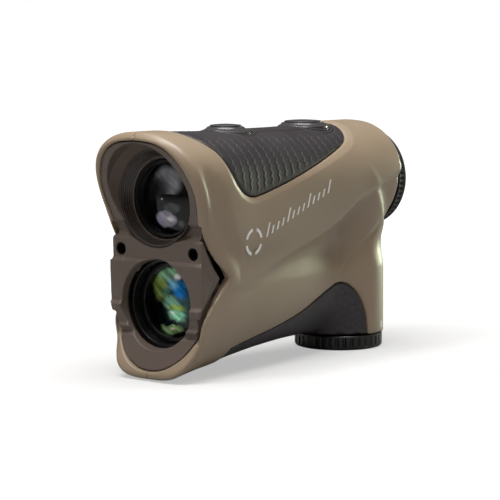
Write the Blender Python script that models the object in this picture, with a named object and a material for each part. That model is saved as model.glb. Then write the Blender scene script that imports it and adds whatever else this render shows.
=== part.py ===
"""Hand-held laser rangefinder: a clamshell monocular with a receiver below and a battery tube behind.

Design coordinates, in millimetres: X runs to the user's left, Y back from the middle of the front rim and
Z up from the viewing axis. Every object is placed so that the finished part has Y = 0 at mid-length and Z = 0 on
the surface that it stands on, in metres.
"""

import math

import bmesh
import bpy
import numpy as np
from mathutils import Matrix, Vector

MM = 0.001
BROW = -4.8
REAR = 104.4
AXIS_HEIGHT = 52.2
SHIFT = Vector((0.0, -(BROW + REAR) / 2, AXIS_HEIGHT))
FAR = 30.0

# Fits between pieces
GAP = 0.3
WALL = 2.7
PAD_FACE = 0.2
PAD_BACK = 1.15
PAD_SEAT = 1.45

# Optics
UPPER_Z = -1.2
UPPER_RIM_R = 14.7
UPPER_END_R = 11.5
UPPER_DEPTH = 7.8
UPPER_STEP_R = 13.1
UPPER_STEP_Y = 4.9
LOWER_Z = -30.9
LOWER_Y = 3.6
LOWER_RIM_R = 12.9
LOWER_END_R = 12.3
TUBE_R = 12.2
UPPER_LENS_R = 10.9
LOWER_LENS_R = 11.5
EYE_LENS_R = 10.6
CELL_R = 11.9
EYE_TUBE_R = 13.4
PRISM_SIDE = 8.0
LASER_Y = 47.0

# Bezel
BEZEL_BACK = 9.8
SCREW_X = 13.5
SCREW_Z = -15.9
SHANK_R = 0.9
SHANK_HOLE_R = 1.2
BEZEL_HEAD_R = 1.6
BEZEL_HEAD_HOLE_R = 1.9
POST_SIDE = 2.4
POST_FRONT = 12.6
POST_BACK = 19.0

# Battery tube
TUBE_Y = 89.6
HANDLE_R = 14.0
HANDLE_BOTTOM = -47.4
SLANT_TOP = -17.7
SLANT = 0.85
CAP_R = 13.65
CAP_TOP = -47.8
CAP_BOTTOM = -AXIS_HEIGHT
BATTERY_R = 7.8

# Eyepiece
SHELL_END = 99.7
REAR_OPENING_R = 15.0
EYECUP_R = 15.6

# Buttons: name, distance from the rim, key radius, surround radius
BUTTONS = (("front", 34.6, 4.9, 7.5), ("rear", 71.2, 5.9, 7.9))
KEY_TOP = 18.9
KEY_UNDER = 17.2
STEM_STEP = 2.0
BOARD_TOP = 10.5

# Screws that close the two housings: distance from the rim, height, reach of the boss, depth of the seat
HOUSING_SCREWS = (
    (24.0, 13.2, 13.4, 6.8), (53.0, 12.9, 12.6, 6.0), (50.0, -42.0, 11.6, 6.2), (67.0, -39.0, 9.8, 6.4),
)
SCREW_REACH = 6.0
HEAD_R = 1.7
HEAD_HOLE_R = 2.1
HEAD_HEIGHT = 1.2
BOSS_R = 3.0
BOSS_TIP_R = 2.0

# The body's outline along its length, as (distance from the rim, value)
BARREL_WIDTH = ((0, 19.8), (14, 19.5), (32, 18.6), (60, 17.9), (90, 17.6), (100, 17.3))
BARREL_TOP = ((0, 18.0), (11, 18.0), (24, 17.1), (55, 17.1), (80, 17.9), (93, 18.2), (100, 17.6))
BARREL_BOTTOM = ((0, 11.5), (20, 12.7), (60, 15.5), (100, 17.1))
BARREL_POWER = ((0, 2.3), (30, 2.3), (70, 2.05), (100, 2.0))
LOBE_WIDTH = ((0, 17.4), (15, 17.3), (30, 16.2), (50, 14.2), (66, 12.2), (76, 11.2), (90, 9.0))
LOBE_BOTTOM = (
    (0, 52.0), (4, 51.6), (12, 50.5), (20, 49.9), (28, 48.8), (40, 47.4), (57, 46.5), (67, 46.4), (76, 46.4),
)
LOBE_POWER = ((0, 4.4), (4, 3.6), (10, 2.7), (24, 2.6), (40, 2.8), (60, 2.8), (76, 2.5))
SECTION_CENTRE = ((0, -15.0), (66, -12.0), (86, -3.0), (100, 0.0))
BARREL_CENTRE = 1.5
LOBE_CENTRE = -24.0
LOBE_ABOVE = 30.0
LOBE_END = 86.0
BODY_BLEND = 3.0
AROUND = 36
TALLNESS = 1.8
CORNER_BIAS = 0.85
RIM_STATIONS = ((0.4, 2.2), (1.2, 1.4), (3.4, 0.0))
STATIONS = (9, 16, 24, 35, 47, 58, 68, 77, 81, 85.5, 87, 92.5, 97)
END_STATIONS = ((99.1, 0.5), (SHELL_END, 1.5))
RIM_AND_END = (*RIM_STATIONS, *((place, 0.0) for place in STATIONS), *END_STATIONS)

# Where the front rim lies, as (height, distance): the brow leans forward over the upper lens
FRONT_EDGE = (
    (-53, -0.7), (-49, 0.1), (-45, 2.5), (-41, 4.2), (-20, 4.2), (-8, 3.2), (0, 0.6), (9, -2.7), (15.4, -5.2),
    (19, -6.5),
)
FRONT_FADE = 16.0
FACE_RECESS = 0.7

# Panels seen from the side, as (distance from the rim, height)
PAD_OUTLINE = (
    (8.0, FAR), (8.1, 17.2), (10.5, 14.4), (12.4, 12.2), (13.6, 9.5), (15.1, 6.5), (17.3, 3.4),
    (20.8, 0.4), (25.0, -0.9), (30.0, -0.5), (42.5, 2.5), (58.0, 6.8), (71.7, 11.0), (76.6, 12.8),
    (79.4, 15.2), (81.4, 17.0), (81.6, FAR),
)
GRIP_OUTLINE = (
    (18.0, -55.0), (22.0, -44.5), (31.6, -42.4), (42.7, -40.3), (53.9, -37.6), (63.0, -34.3), (70.5, -31.6),
    (77.0, -31.0), (82.0, -33.0), (85.2, -37.0), (86.8, -42.0), (87.4, -55.0),
)
WING_OPENING = (
    (-9.0, -5.6), (2.6, -5.6), (4.4, -8.7), (7.0, -14.1), (10.6, -18.5), (15.3, -23.1), (11.6, -27.4),
    (7.9, -31.2), (5.2, -35.0), (4.4, -38.6), (-9.0, -39.6),
)
WING_OUTLINE = (
    (-9.0, -12.5), (5.2, -12.9), (8.8, -18.0), (13.2, -23.1), (9.9, -26.8), (6.4, -30.4), (3.9, -34.6),
    (3.6, -37.5), (-9.0, -38.0),
)
BEZEL_HALF = (
    (0.0, 15.4), (6.0, 14.9), (10.5, 13.3), (14.0, 10.2), (16.3, 6.0), (17.1, 2.0), (16.8, -2.0), (15.8, -6.5),
    (15.2, -12.0), (15.2, -36.0), (14.0, -39.6), (12.6, -42.4), (10.4, -45.2), (7.0, -47.6), (3.5, -48.9),
    (0.0, -49.3),
)
# The bezel's face below the slanting upper part
BEZEL_STEPS = (
    (3.9, -8.0), (5.0, -8.4), (5.0, -11.2), (4.1, -13.0), (4.1, -18.7), (3.6, -19.2), (3.6, -31.2),
    (4.0, -37.0), (4.6, -37.6), (4.6, -39.8), (4.9, -40.2), (1.2, -49.3), (0.6, -56.0),
)

FINISHES = {
    "tan_plastic": ((0.36, 0.29, 0.2), 0.42, 0.0),
    "bezel_plastic": ((0.1, 0.085, 0.075), 0.6, 0.0),
    "rubber": ((0.045, 0.04, 0.045), 0.75, 0.0),
    "key_plastic": ((0.06, 0.058, 0.062), 0.4, 0.0),
    "black_plastic": ((0.012, 0.012, 0.013), 0.5, 0.0),
    "objective_glass": ((0.3, 0.32, 0.4), 0.03, 0.0),
    "receiver_glass": ((0.1, 0.45, 0.42), 0.03, 0.0),
    "optical_glass": ((0.85, 0.9, 0.9), 0.03, 0.0),
    "black_aluminium": ((0.03, 0.03, 0.032), 0.4, 1.0),
    "steel": ((0.55, 0.55, 0.56), 0.3, 1.0),
    "gold_contact": ((0.83, 0.63, 0.3), 0.25, 1.0),
    "brass": ((0.6, 0.45, 0.2), 0.35, 1.0),
    "circuit_green": ((0.02, 0.16, 0.07), 0.4, 0.0),
    "chip_black": ((0.02, 0.02, 0.02), 0.4, 0.0),
    "flex_film": ((0.6, 0.3, 0.06), 0.4, 0.0),
    "battery_sleeve": ((0.05, 0.14, 0.3), 0.3, 0.0),
}


def clear_scene():
    for old in list(bpy.data.objects):
        bpy.data.objects.remove(old)


def finish_named(name):
    found = bpy.data.materials.get(name)
    if found:
        return found
    colour, roughness, metallic = FINISHES[name]
    made = bpy.data.materials.new(name)
    made.use_nodes = True
    shader = made.node_tree.nodes["Principled BSDF"]
    shader.inputs["Base Color"].default_value = (*colour, 1.0)
    shader.inputs["Roughness"].default_value = roughness
    shader.inputs["Metallic"].default_value = metallic
    return made


def add(name, shape, finish=None, origin=(0.0, 0.0, 0.0)):
    """Makes an object of a bmesh in design coordinates, with its origin at a design point.

    A shape with no finish is a cutter or a guide, which stays out of the model.
    """
    origin = Vector(origin)
    bmesh.ops.recalc_face_normals(shape, faces=shape.faces)
    bmesh.ops.translate(shape, vec=-origin, verts=shape.verts)
    bmesh.ops.scale(shape, vec=(MM, MM, MM), verts=shape.verts)
    mesh = bpy.data.meshes.new(name)
    shape.to_mesh(mesh)
    shape.free()
    made = bpy.data.objects.new(name, mesh)
    made.location = (origin + SHIFT) * MM
    bpy.context.scene.collection.objects.link(made)
    if finish:
        mesh.materials.append(finish_named(finish))
        mesh.shade_smooth()
        mesh.set_sharp_from_angle(angle=math.radians(35))
    else:
        made.hide_render = True
        made.display_type = "WIRE"
    return made


def combine(piece, other, operation="DIFFERENCE", solver="EXACT"):
    step = piece.modifiers.new(f"{operation.lower()} {other.name}", "BOOLEAN")
    step.operation = operation
    step.solver = solver
    step.object = other
    return piece


def loop_faces(shape, rings, closed_rings=False):
    """Joins equal rings of vertices with quads, each ring closed on itself."""
    pairs = list(zip(rings, rings[1:]))
    if closed_rings:
        pairs.append((rings[-1], rings[0]))
    for first, second in pairs:
        count = len(first)
        for i in range(count):
            j = (i + 1) % count
            shape.faces.new((first[i], first[j], second[j], second[i]))


def turned(profile, axis="Z", at=(0.0, 0.0, 0.0), segments=24):
    """Turns a closed (radius, height) outline about an axis through a point.

    Points on the axis become poles, so the outline of a solid starts and ends with radius 0.
    """
    shape = bmesh.new()
    rings = []
    poles = []
    for radius, height in profile:
        if radius == 0:
            poles.append(shape.verts.new((0, 0, height)))
            continue
        ring = []
        for i in range(segments):
            angle = 2 * math.pi * i / segments
            ring.append(shape.verts.new((radius * math.cos(angle), radius * math.sin(angle), height)))
        rings.append(ring)
    loop_faces(shape, rings, closed_rings=not poles)
    for pole, ring in zip(poles, (rings[0], rings[-1])):
        for i in range(segments):
            shape.faces.new((pole, ring[i], ring[(i + 1) % segments]))
    if axis == "Y":
        turn = Matrix.Rotation(-math.pi / 2, 4, "X")
    elif axis == "X":
        turn = Matrix.Rotation(math.pi / 2, 4, "Y")
    else:
        turn = Matrix.Identity(4)
    bmesh.ops.transform(shape, matrix=Matrix.Translation(at) @ turn, verts=shape.verts)
    return shape


def prism(outline, axis, low, high):
    """Extrudes an outline along X from (y, z) points, along Y from (x, z) or along Z from (x, y)."""
    order = {"X": (2, 0, 1), "Y": (0, 2, 1), "Z": (0, 1, 2)}[axis]
    shape = bmesh.new()
    ends = []
    for depth in (low, high):
        ring = []
        for u, v in outline:
            values = (u, v, depth)
            ring.append(shape.verts.new([values[k] for k in order]))
        ends.append(ring)
    shape.faces.new(ends[0])
    shape.faces.new(reversed(ends[1]))
    loop_faces(shape, ends)
    return shape


def block(low, high):
    (x0, y0, z0), (x1, y1, z1) = low, high
    return prism(((x0, y0), (x1, y0), (x1, y1), (x0, y1)), "Z", z0, z1)


def grown(outline, distance):
    """Moves an outline outwards by a distance, keeping its corners."""
    points = np.array(outline, float)
    area = np.dot(points[:, 0], np.roll(points[:, 1], -1)) - np.dot(points[:, 1], np.roll(points[:, 0], -1))
    sides = np.roll(points, -1, axis=0) - points
    sides /= np.linalg.norm(sides, axis=1)[:, None]
    normals = np.stack([sides[:, 1], -sides[:, 0]], axis=1) * np.sign(area)
    before = np.roll(normals, 1, axis=0)
    corner = normals + before
    corner /= (1 + (normals * before).sum(axis=1))[:, None]
    return [tuple(point) for point in points + corner * distance]


def mirrored(half):
    """Completes a front-view outline from its +X half, which starts and ends on the centre line."""
    return list(half) + [(-x, z) for x, z in half[-2:0:-1]]


def smooth_through(places, knots):
    """Reads a smooth curve through a few (place, value) knots, without overshoot between them."""
    u, v = np.array(knots, float).T
    step = np.diff(u)
    slope = np.diff(v) / step
    before, after = slope[:-1], slope[1:]
    same_way = before * after > 0
    middle = np.where(same_way, 2 * before * after / np.where(same_way, before + after, 1), 0)
    tangent = np.concatenate([slope[:1], middle, slope[-1:]])
    i = np.clip(np.searchsorted(u, places) - 1, 0, len(step) - 1)
    t = np.clip((places - u[i]) / step[i], 0, 1)
    rise = 3 * t**2 - 2 * t**3
    bend = tangent[i] * (t**3 - 2 * t**2 + t) + tangent[i + 1] * (t**3 - t**2)
    return v[i] * (1 - rise) + v[i + 1] * rise + bend * step[i]


def oval_distance(x, z, half_width, half_height, power):
    size = ((x / half_width) ** power + (z / half_height) ** power) ** (1 / power)
    return (size - 1) * np.hypot(x, z) / size


def body_distance(x, y, z):
    """Roughly how far a point lies outside the barrel and the lobe under it, in a section at y."""
    x = np.abs(x) + 1e-6
    above = smooth_through(y, BARREL_TOP) - BARREL_CENTRE
    below = smooth_through(y, BARREL_BOTTOM) + BARREL_CENTRE
    height = np.where(z > BARREL_CENTRE, above, below)
    up = np.abs(z - BARREL_CENTRE) + 1e-6
    barrel = oval_distance(x, up, smooth_through(y, BARREL_WIDTH), height, smooth_through(y, BARREL_POWER))
    height = np.where(z < LOBE_CENTRE, smooth_through(y, LOBE_BOTTOM) + LOBE_CENTRE, LOBE_ABOVE)
    up = np.abs(z - LOBE_CENTRE) + 1e-6
    lobe = oval_distance(x, up, smooth_through(y, LOBE_WIDTH), height, smooth_through(y, LOBE_POWER))
    lobe = np.where(y < LOBE_END, lobe, FAR)
    mix = np.clip(0.5 + 0.5 * (lobe - barrel) / BODY_BLEND, 0, 1)
    return lobe * (1 - mix) + barrel * mix - BODY_BLEND * mix * (1 - mix)


def leaning(place, z):
    """How far back a point of a section lies: sections near the front lean with the rim."""
    fade = max(0.0, 1 - max(place, 0.0) / FRONT_FADE)
    return place + fade * smooth_through(z, FRONT_EDGE)


def body_loft(inset, stations):
    """The barrel and lobe as one lofted skin, moved inwards by inset."""
    angles = np.linspace(0, 2 * np.pi, AROUND, endpoint=False)
    across, up = np.sin(angles), np.cos(angles)
    across = np.sign(across) * np.abs(across) ** CORNER_BIAS
    up = np.sign(up) * np.abs(up) ** CORNER_BIAS * TALLNESS
    across, up = across / np.hypot(across, up), up / np.hypot(across, up)
    shape = bmesh.new()
    rings = []
    for place, more in stations:
        centre = smooth_through(np.full(AROUND, float(place)), SECTION_CENTRE)
        near, far = np.zeros(AROUND), np.full(AROUND, 60.0)
        for _ in range(30):
            reach = (near + far) / 2
            y = leaning(place, centre + up * reach)
            outside = body_distance(across * reach, y, centre + up * reach) > -(inset + more)
            near = np.where(outside, near, reach)
            far = np.where(outside, reach, far)
        rings.append([shape.verts.new(point) for point in zip(across * near, y, centre + up * near)])
    loop_faces(shape, rings)
    bmesh.ops.triangulate(shape, faces=shape.faces)
    shape.faces.new(rings[0])
    shape.faces.new(reversed(rings[-1]))
    return shape


def handle_shape(radius, bottom, drop=0.0):
    """The battery tube's vertical cylinder, cut slanting where it runs under the eyepiece."""
    shape = bmesh.new()
    segments = 36
    rings = [[], []]
    for i in range(segments):
        angle = 2 * math.pi * (i + 0.5) / segments
        x, y = radius * math.cos(angle), TUBE_Y + radius * math.sin(angle)
        top = SLANT_TOP - SLANT * (y - SHELL_END) - drop
        rings[0].append(shape.verts.new((x, y, bottom)))
        rings[1].append(shape.verts.new((x, y, top)))
    loop_faces(shape, rings)
    shape.faces.new(rings[0])
    shape.faces.new(reversed(rings[1]))
    return shape


def body_guide(name, inset, whole_rim=True, end=SHELL_END, bottom=HANDLE_BOTTOM):
    """A solid of the outer form moved inwards, with its rim and end either shaped or run straight on."""
    stations = RIM_AND_END
    if not whole_rim:
        stations = [(-2.0, 0.0), *((place, 0.0) for place in STATIONS if place < end - 0.5), (end, 0.0)]
    made = add(name, body_loft(inset, stations))
    handle = add(f"{name} handle", handle_shape(HANDLE_R - inset, bottom, inset))
    return combine(made, handle, "UNION")


def ring_profile(inner, outer, low, high):
    return ((inner, low), (outer, low), (outer, high), (inner, high))


def disc_profile(radius, low, high):
    return ((0, low), (radius, low), (radius, high), (0, high))


def lens_profile(radius, front, back, front_rise, back_rise, steps=3):
    """A lens seen from its edge: front and back are its rim's faces, and each surface bulges by its rise."""
    points = []
    for face, rise, order in ((front, -front_rise, range(steps + 1)), (back, back_rise, range(steps, -1, -1))):
        for i in order:
            r = radius * i / steps
            points.append((r, face + rise * (1 - (r / radius) ** 2)))
    return points


def screw_profile(seat, shank, head, slack, outer):
    """A housing screw along X, its head towards -X, with some slack where it shapes its hole."""
    tip = SCREW_REACH + slack
    seat = slack - seat
    return ((0, tip), (shank, tip), (shank, seat), (head, seat), (head, outer), (0, outer))


def cut_housing(half, cutters):
    for cutter in cutters:
        combine(half, cutter, solver="MANIFOLD")


def make_housings():
    outer = body_guide("outer form", 0.0)
    hollow = body_guide("hollow form", WALL, whole_rim=False, end=SHELL_END - 2.0, bottom=HANDLE_BOTTOM - 2)
    seat = body_guide("panel seat form", PAD_SEAT)
    openings = [
        add("bezel opening", prism(grown(mirrored(BEZEL_HALF), GAP), "Y", -FAR, BEZEL_BACK + GAP)),
        add("wing opening", prism(WING_OPENING, "X", -FAR, FAR)),
        add("eyepiece opening", turned(disc_profile(REAR_OPENING_R, 95.0, 110.0), "Y", segments=32)),
    ]
    for name, outline in (("pad", PAD_OUTLINE), ("grip", GRIP_OUTLINE)):
        pocket = add(f"{name} pocket", prism(grown(outline, GAP), "X", -FAR, FAR))
        openings.append(combine(pocket, seat))
    for name, place, key_radius, _ in BUTTONS:
        well = turned(disc_profile(key_radius - STEM_STEP + 0.8, 8.0, FAR), at=(0, place, 0), segments=20)
        openings.append(add(f"{name} well", well))
    for side, label in ((1, "left"), (-1, "right")):
        half = add(f"{label}_housing", body_loft(0.0, RIM_AND_END), "tan_plastic")
        combine(half, bpy.data.objects["outer form handle"], "UNION", "MANIFOLD")
        cut_housing(half, [hollow])
        x_low, x_high = sorted((side * (SCREW_X - 3.0), side * (SCREW_X + POST_SIDE)))
        post = block((x_low, POST_FRONT, SCREW_Z - POST_SIDE), (x_high, POST_BACK, SCREW_Z + POST_SIDE))
        combine(half, add(f"{label} bezel post", post), "UNION", "MANIFOLD")
        profile = disc_profile(SHANK_HOLE_R, POST_FRONT - 1.6, POST_BACK - 1.4)
        holes = [add(f"{label} post hole", turned(profile, "Y", (side * SCREW_X, 0, SCREW_Z), 12))]
        for number, (place, height, reach, seat_depth) in enumerate(HOUSING_SCREWS, 1):
            step = seat_depth - 0.9
            profile = ((0, 0), (BOSS_TIP_R, 0), (BOSS_TIP_R, step), (BOSS_R, step), (BOSS_R, reach), (0, reach))
            boss = turned([(r, side * x) for r, x in profile], "X", (0, place, height), 12)
            combine(half, add(f"{label} boss {number}", boss), "UNION", "MANIFOLD")
            if side < 0:
                profile = screw_profile(seat_depth, SHANK_HOLE_R, HEAD_HOLE_R, GAP, -FAR)
            else:
                profile = disc_profile(SHANK_HOLE_R, -1.0, SCREW_REACH + GAP)
            hole = turned(profile, "X", (0, place, height), 12)
            holes.append(add(f"{label} screw hole {number}", hole))
        cut_housing(half, [*openings, *holes])
        x_low, x_high = sorted((side * GAP / 2, side * FAR))
        keep = add(f"{label} side", block((x_low, -FAR, -70.0), (x_high, 120.0, FAR)))
        combine(half, keep, "INTERSECT", "MANIFOLD")


def make_housing_screws():
    for number, (place, height, _, seat) in enumerate(HOUSING_SCREWS, 1):
        profile = screw_profile(seat, SHANK_R, HEAD_R, 0.0, -seat - HEAD_HEIGHT)
        add(f"housing_screw_{number}", turned(profile, "X", (0, place, height), 12), "steel")


def funnel_shape():
    """The space ahead of the upper lens: its rim leans with the bezel's face, and its throat drops to the lens."""
    shape = bmesh.new()
    rings = []
    segments = 40
    last = BEZEL_BACK + 4.0
    for radius, place, leans in (
        (UPPER_RIM_R, -8.0, True), (UPPER_RIM_R, 0.0, True), (UPPER_STEP_R, UPPER_STEP_Y, False),
        (UPPER_END_R, UPPER_DEPTH, False), (TUBE_R + GAP, UPPER_DEPTH + 0.1, False), (TUBE_R + GAP, last, False),
    ):
        ring = []
        for i in range(segments):
            angle = 2 * math.pi * i / segments
            drop = UPPER_Z * min(max(place, 0.0) / UPPER_DEPTH, 1.0)
            x, z = radius * math.cos(angle), radius * math.sin(angle) + drop
            y = place
            if leans:
                y += min(float(smooth_through(z, FRONT_EDGE)) + FACE_RECESS, UPPER_STEP_Y - 0.3)
            ring.append(shape.verts.new((x, y, z)))
        rings.append(ring)
    loop_faces(shape, rings)
    bmesh.ops.triangulate(shape, faces=shape.faces)
    shape.faces.new(rings[-1])
    front = shape.verts.new((0.0, -14.0, 0.0))
    for first, second in zip(rings[0], rings[0][1:] + rings[0][:1]):
        shape.faces.new((front, first, second))
    return shape


def make_bezel():
    form = body_guide("bezel form", 0.6, whole_rim=False)
    wing = add("wing block", prism(WING_OUTLINE, "X", -FAR, FAR))
    combine(wing, form, "INTERSECT")
    bezel = add("front_bezel", prism(mirrored(BEZEL_HALF), "Y", -9.0, BEZEL_BACK), "bezel_plastic")
    combine(bezel, wing, "UNION")
    heights = (19.0, 15.4, 9.0, 3.0, -3.0)
    slope = [(float(smooth_through(z, FRONT_EDGE)) + FACE_RECESS, z) for z in heights]
    face = [(-FAR, FAR), (slope[0][0], FAR), *slope, *BEZEL_STEPS, (-FAR, -56.0)]
    combine(bezel, add("stepped face", prism(face, "X", -FAR, FAR)))
    combine(bezel, add("upper funnel", funnel_shape()))
    rim = LOWER_RIM_R + (LOWER_RIM_R - LOWER_END_R) * (LOWER_Y + 1.0) / 3.0
    shape = turned(((0, -1.0), (rim, -1.0), (LOWER_END_R, 6.6), (LOWER_END_R, 14.0), (0, 14.0)),
                   "Y", (0, 0, LOWER_Z), 40)
    combine(bezel, add("lower funnel", shape))
    inner = body_guide("bezel hollow", 2.6, whole_rim=False)
    under = add("behind the plate", block((-FAR, 7.2, -FAR - 30), (FAR, 40.0, -14.9)))
    combine(bezel, combine(under, inner, "INTERSECT"))
    for side in (1, -1):
        hole, head = SHANK_HOLE_R, BEZEL_HEAD_HOLE_R
        shape = turned(((0, 0.0), (head, 0.0), (head, 6.0), (hole, 6.0), (hole, 20.0), (0, 20.0)),
                       "Y", (side * SCREW_X, 0, SCREW_Z), 16)
        combine(bezel, add(f"bezel hole {side}", shape))
        shank, head = SHANK_R, BEZEL_HEAD_R
        shape = turned(((0, 4.4), (head, 4.4), (head, 5.7), (shank, 5.7), (shank, 17.0), (0, 17.0)),
                       "Y", (side * SCREW_X, 0, SCREW_Z), 12)
        add(f"bezel_screw_{'left' if side > 0 else 'right'}", shape, "steel")


def make_panels():
    face = body_guide("panel face form", PAD_FACE)
    back = body_guide("panel back form", PAD_BACK)
    for name, outline in (("top_grip_pad", PAD_OUTLINE), ("lower_grip", GRIP_OUTLINE)):
        panel = add(name, prism(outline, "X", -FAR, FAR), "rubber")
        combine(panel, face, "INTERSECT")
        combine(panel, back)
        if name == "lower_grip":
            continue
        for label, place, _, radius in BUTTONS:
            shape = turned(disc_profile(radius + GAP, 0.0, FAR), at=(0, place, 0), segments=32)
            combine(panel, add(f"{label} pad hole", shape))


def make_buttons():
    back = bpy.data.objects["panel back form"]
    for name, place, key, radius in BUTTONS:
        profile = ((key + GAP, 10.0), (radius, 10.0), (radius, 16.6), (radius - 0.5, 17.2),
                   (key + 1.1, 18.2), (key + GAP, 18.2))
        surround = add(f"{name}_button_surround", turned(profile, at=(0, place, 0)), "key_plastic")
        combine(surround, back)
        stem = key - STEM_STEP
        profile = ((0, 13.2), (stem, 13.2), (stem, KEY_UNDER), (key, KEY_UNDER), (key, KEY_TOP - 0.7),
                   (key - 0.6, KEY_TOP - 0.1), (0, KEY_TOP))
        add(f"{name}_button", turned(profile, at=(0, place, 0)), "key_plastic", (0, place, KEY_TOP))
        low = BOARD_TOP + GAP
        shape = block((-2.6, place - 2.6, low), (2.6, place + 2.6, 12.1))
        add(f"{name}_switch", shape, "chip_black")
    shape = block((-4.6, 29.0, BOARD_TOP - 0.8), (4.6, 77.0, BOARD_TOP))
    add("button_board", shape, "circuit_green")


def make_objective():
    """The viewing lens in its barrel, from its retaining ring back to the rear lens."""
    at = (0, 0, UPPER_Z)
    room = UPPER_LENS_R + GAP
    profile = ((room, 8.2), (TUBE_R, 8.2), (TUBE_R, 17.6), (9.5, 20.5), (9.5, 34.0), (8.4, 34.0),
               (8.4, 20.0), (9.6, 18.4), (9.6, 17.4), (room, 17.4))
    add("objective_tube", turned(profile, "Y", at), "black_aluminium")
    ring = ring_profile(UPPER_LENS_R - 0.8, UPPER_LENS_R, 8.2, 10.2)
    add("objective_retaining_ring", turned(ring, "Y", at), "black_aluminium")
    add("objective_lens", turned(lens_profile(UPPER_LENS_R, 10.6, 12.4, 1.6, 0.4), "Y", at), "objective_glass")
    spacer = ring_profile(UPPER_LENS_R - 1.1, UPPER_LENS_R, 13.0, 14.2)
    add("objective_spacer", turned(spacer, "Y", at), "black_aluminium")
    rear = lens_profile(UPPER_LENS_R, 14.5, 17.1, 0.6, -1.0)
    add("objective_rear_lens", turned(rear, "Y", at), "optical_glass")
    seal = ring_profile(TUBE_R + GAP, TUBE_R + 1.1, 10.6, 11.6)
    add("objective_o_ring", turned(seal, "Y", at), "rubber")


def make_receiver():
    """The laser receiver: its lens narrows the returning light through a cone onto the detector."""
    at = (0, 0, LOWER_Z)
    room = LOWER_LENS_R + GAP
    profile = ((room, 7.6), (12.9, 7.6), (12.9, 19.0), (6.4, 40.0), (6.4, 44.4), (5.3, 44.4),
               (5.3, 40.0), (10.6, 19.6), (10.6, 16.6), (room, 16.6))
    add("receiver_tube", turned(profile, "Y", at), "black_plastic")
    ring = ring_profile(LOWER_LENS_R - 1.3, LOWER_LENS_R, 10.6, 12.8)
    add("receiver_retaining_ring", turned(ring, "Y", at), "black_aluminium")
    add("receiver_lens", turned(lens_profile(LOWER_LENS_R, 13.2, 16.2, 1.8, 0.2), "Y", at), "receiver_glass")
    add("receiver_board", block((-8.0, 44.8, LOWER_Z - 8.0), (8.0, 46.0, LOWER_Z + 8.0)), "circuit_green")
    add("detector", turned(disc_profile(4.0, 40.6, 44.5), "Y", at, 20), "steel")


def make_prisms():
    """The prisms that turn the picture upright, in an open holder, with the laser shining up into them."""
    outline = ((37.0, -9.0), (45.6, -9.0), (51.0, -4.0), (40.0, 9.0), (37.0, 9.0))
    add("roof_prism", prism(outline, "X", -PRISM_SIDE, PRISM_SIDE), "optical_glass")
    outline = ((41.2, 9.0), (52.3, -4.2), (57.0, -4.2), (57.0, 9.0))
    add("beam_splitter_prism", prism(outline, "X", -PRISM_SIDE, PRISM_SIDE), "optical_glass")
    holder = add("prism_holder", block((-9.6, 36.5, -10.6), (9.6, 57.5, 9.3)), "black_aluminium")
    room = PRISM_SIDE + 0.4
    combine(holder, add("prism room", block((-room, 30.0, -9.4), (room, 60.0, 20.0))))
    combine(holder, add("beam hole", turned(disc_profile(2.6, -14.0, 0.0), at=(0, LASER_Y, 0), segments=16)))
    shape = turned(ring_profile(2.3, 3.6, -19.0, -11.0), at=(0, LASER_Y, 0), segments=16)
    add("laser_collimator", shape, "brass")
    profile = ((0, -22.0), (2.8, -22.0), (2.8, -20.6), (2.0, -20.6), (2.0, -18.0), (0, -18.0))
    add("laser_diode", turned(profile, at=(0, LASER_Y, 0), segments=16), "gold_contact")


def make_eyepiece():
    """The display, the eyepiece's fixed barrel, its sliding cell and the ring that turns to move it."""
    profile = ((8.3, 62.6), (9.4, 62.6), (9.4, 79.4), (EYE_TUBE_R, 81.0), (EYE_TUBE_R, 97.0),
               (CELL_R + GAP, 97.0), (CELL_R + GAP, 82.2), (8.3, 80.2))
    add("eyepiece_barrel", turned(profile, "Y"), "black_plastic")
    add("display_panel", block((-7.0, 60.6, -7.0), (7.0, 61.6, 7.0)), "optical_glass")
    frame = add("display_frame", block((-8.6, 60.0, -8.6), (8.6, 62.2, 8.6)), "black_plastic")
    combine(frame, add("display window", block((-7.3, 55.0, -7.3), (7.3, 70.0, 7.3))))
    room = EYE_LENS_R + GAP
    profile = ((9.4, 84.0), (CELL_R, 84.0), (CELL_R, 97.4), (room, 97.4), (room, 87.6), (9.4, 86.6))
    add("ocular_cell", turned(profile, "Y"), "black_aluminium")
    add("ocular_field_lens", turned(lens_profile(EYE_LENS_R, 88.0, 90.2, -0.4, 1.0), "Y"), "optical_glass")
    add("ocular_eye_lens", turned(lens_profile(EYE_LENS_R, 93.0, 95.4, 1.0, 0.4), "Y"), "optical_glass")
    inner, outer = EYE_TUBE_R + GAP, REAR_OPENING_R - GAP
    profile = ((inner, 95.4), (outer, 95.4), (outer, 100.2), (EYECUP_R, 100.2), (EYECUP_R, 102.4), (inner, 102.4))
    add("diopter_ring", turned(profile, "Y", segments=40), "black_plastic", (0, 100.2, 0))
    profile = ((11.6, 98.4), (EYE_TUBE_R, 98.4), (EYE_TUBE_R, 102.7), (EYECUP_R - 0.1, 102.7), (EYECUP_R - 0.1, 103.8),
               (EYECUP_R - 0.7, REAR), (12.6, REAR), (11.6, 103.6))
    add("eyecup", turned(profile, "Y", segments=40), "rubber", (0, 100.2, 0))


def make_electronics():
    add("main_board", block((-0.6, 53.0, -37.0), (0.6, 74.0, -15.0)), "circuit_green")
    add("processor_chip", block((0.9, 60.0, -31.0), (2.3, 68.0, -23.0)), "chip_black")
    add("boost_coil", block((-4.3, 58.0, -29.0), (-0.9, 64.0, -23.0)), "chip_black")
    middle = ((5.3, 10.3), (8.4, 9.9), (10.8, 7.0), (12.0, 1.0), (11.4, -5.5), (8.6, -11.0), (4.6, -15.2),
              (1.4, -17.6), (0.95, -20.5))
    add("flex_cable", prism(ribbon(middle, 0.34), "Y", 65.0, 70.0), "flex_film")


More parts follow.
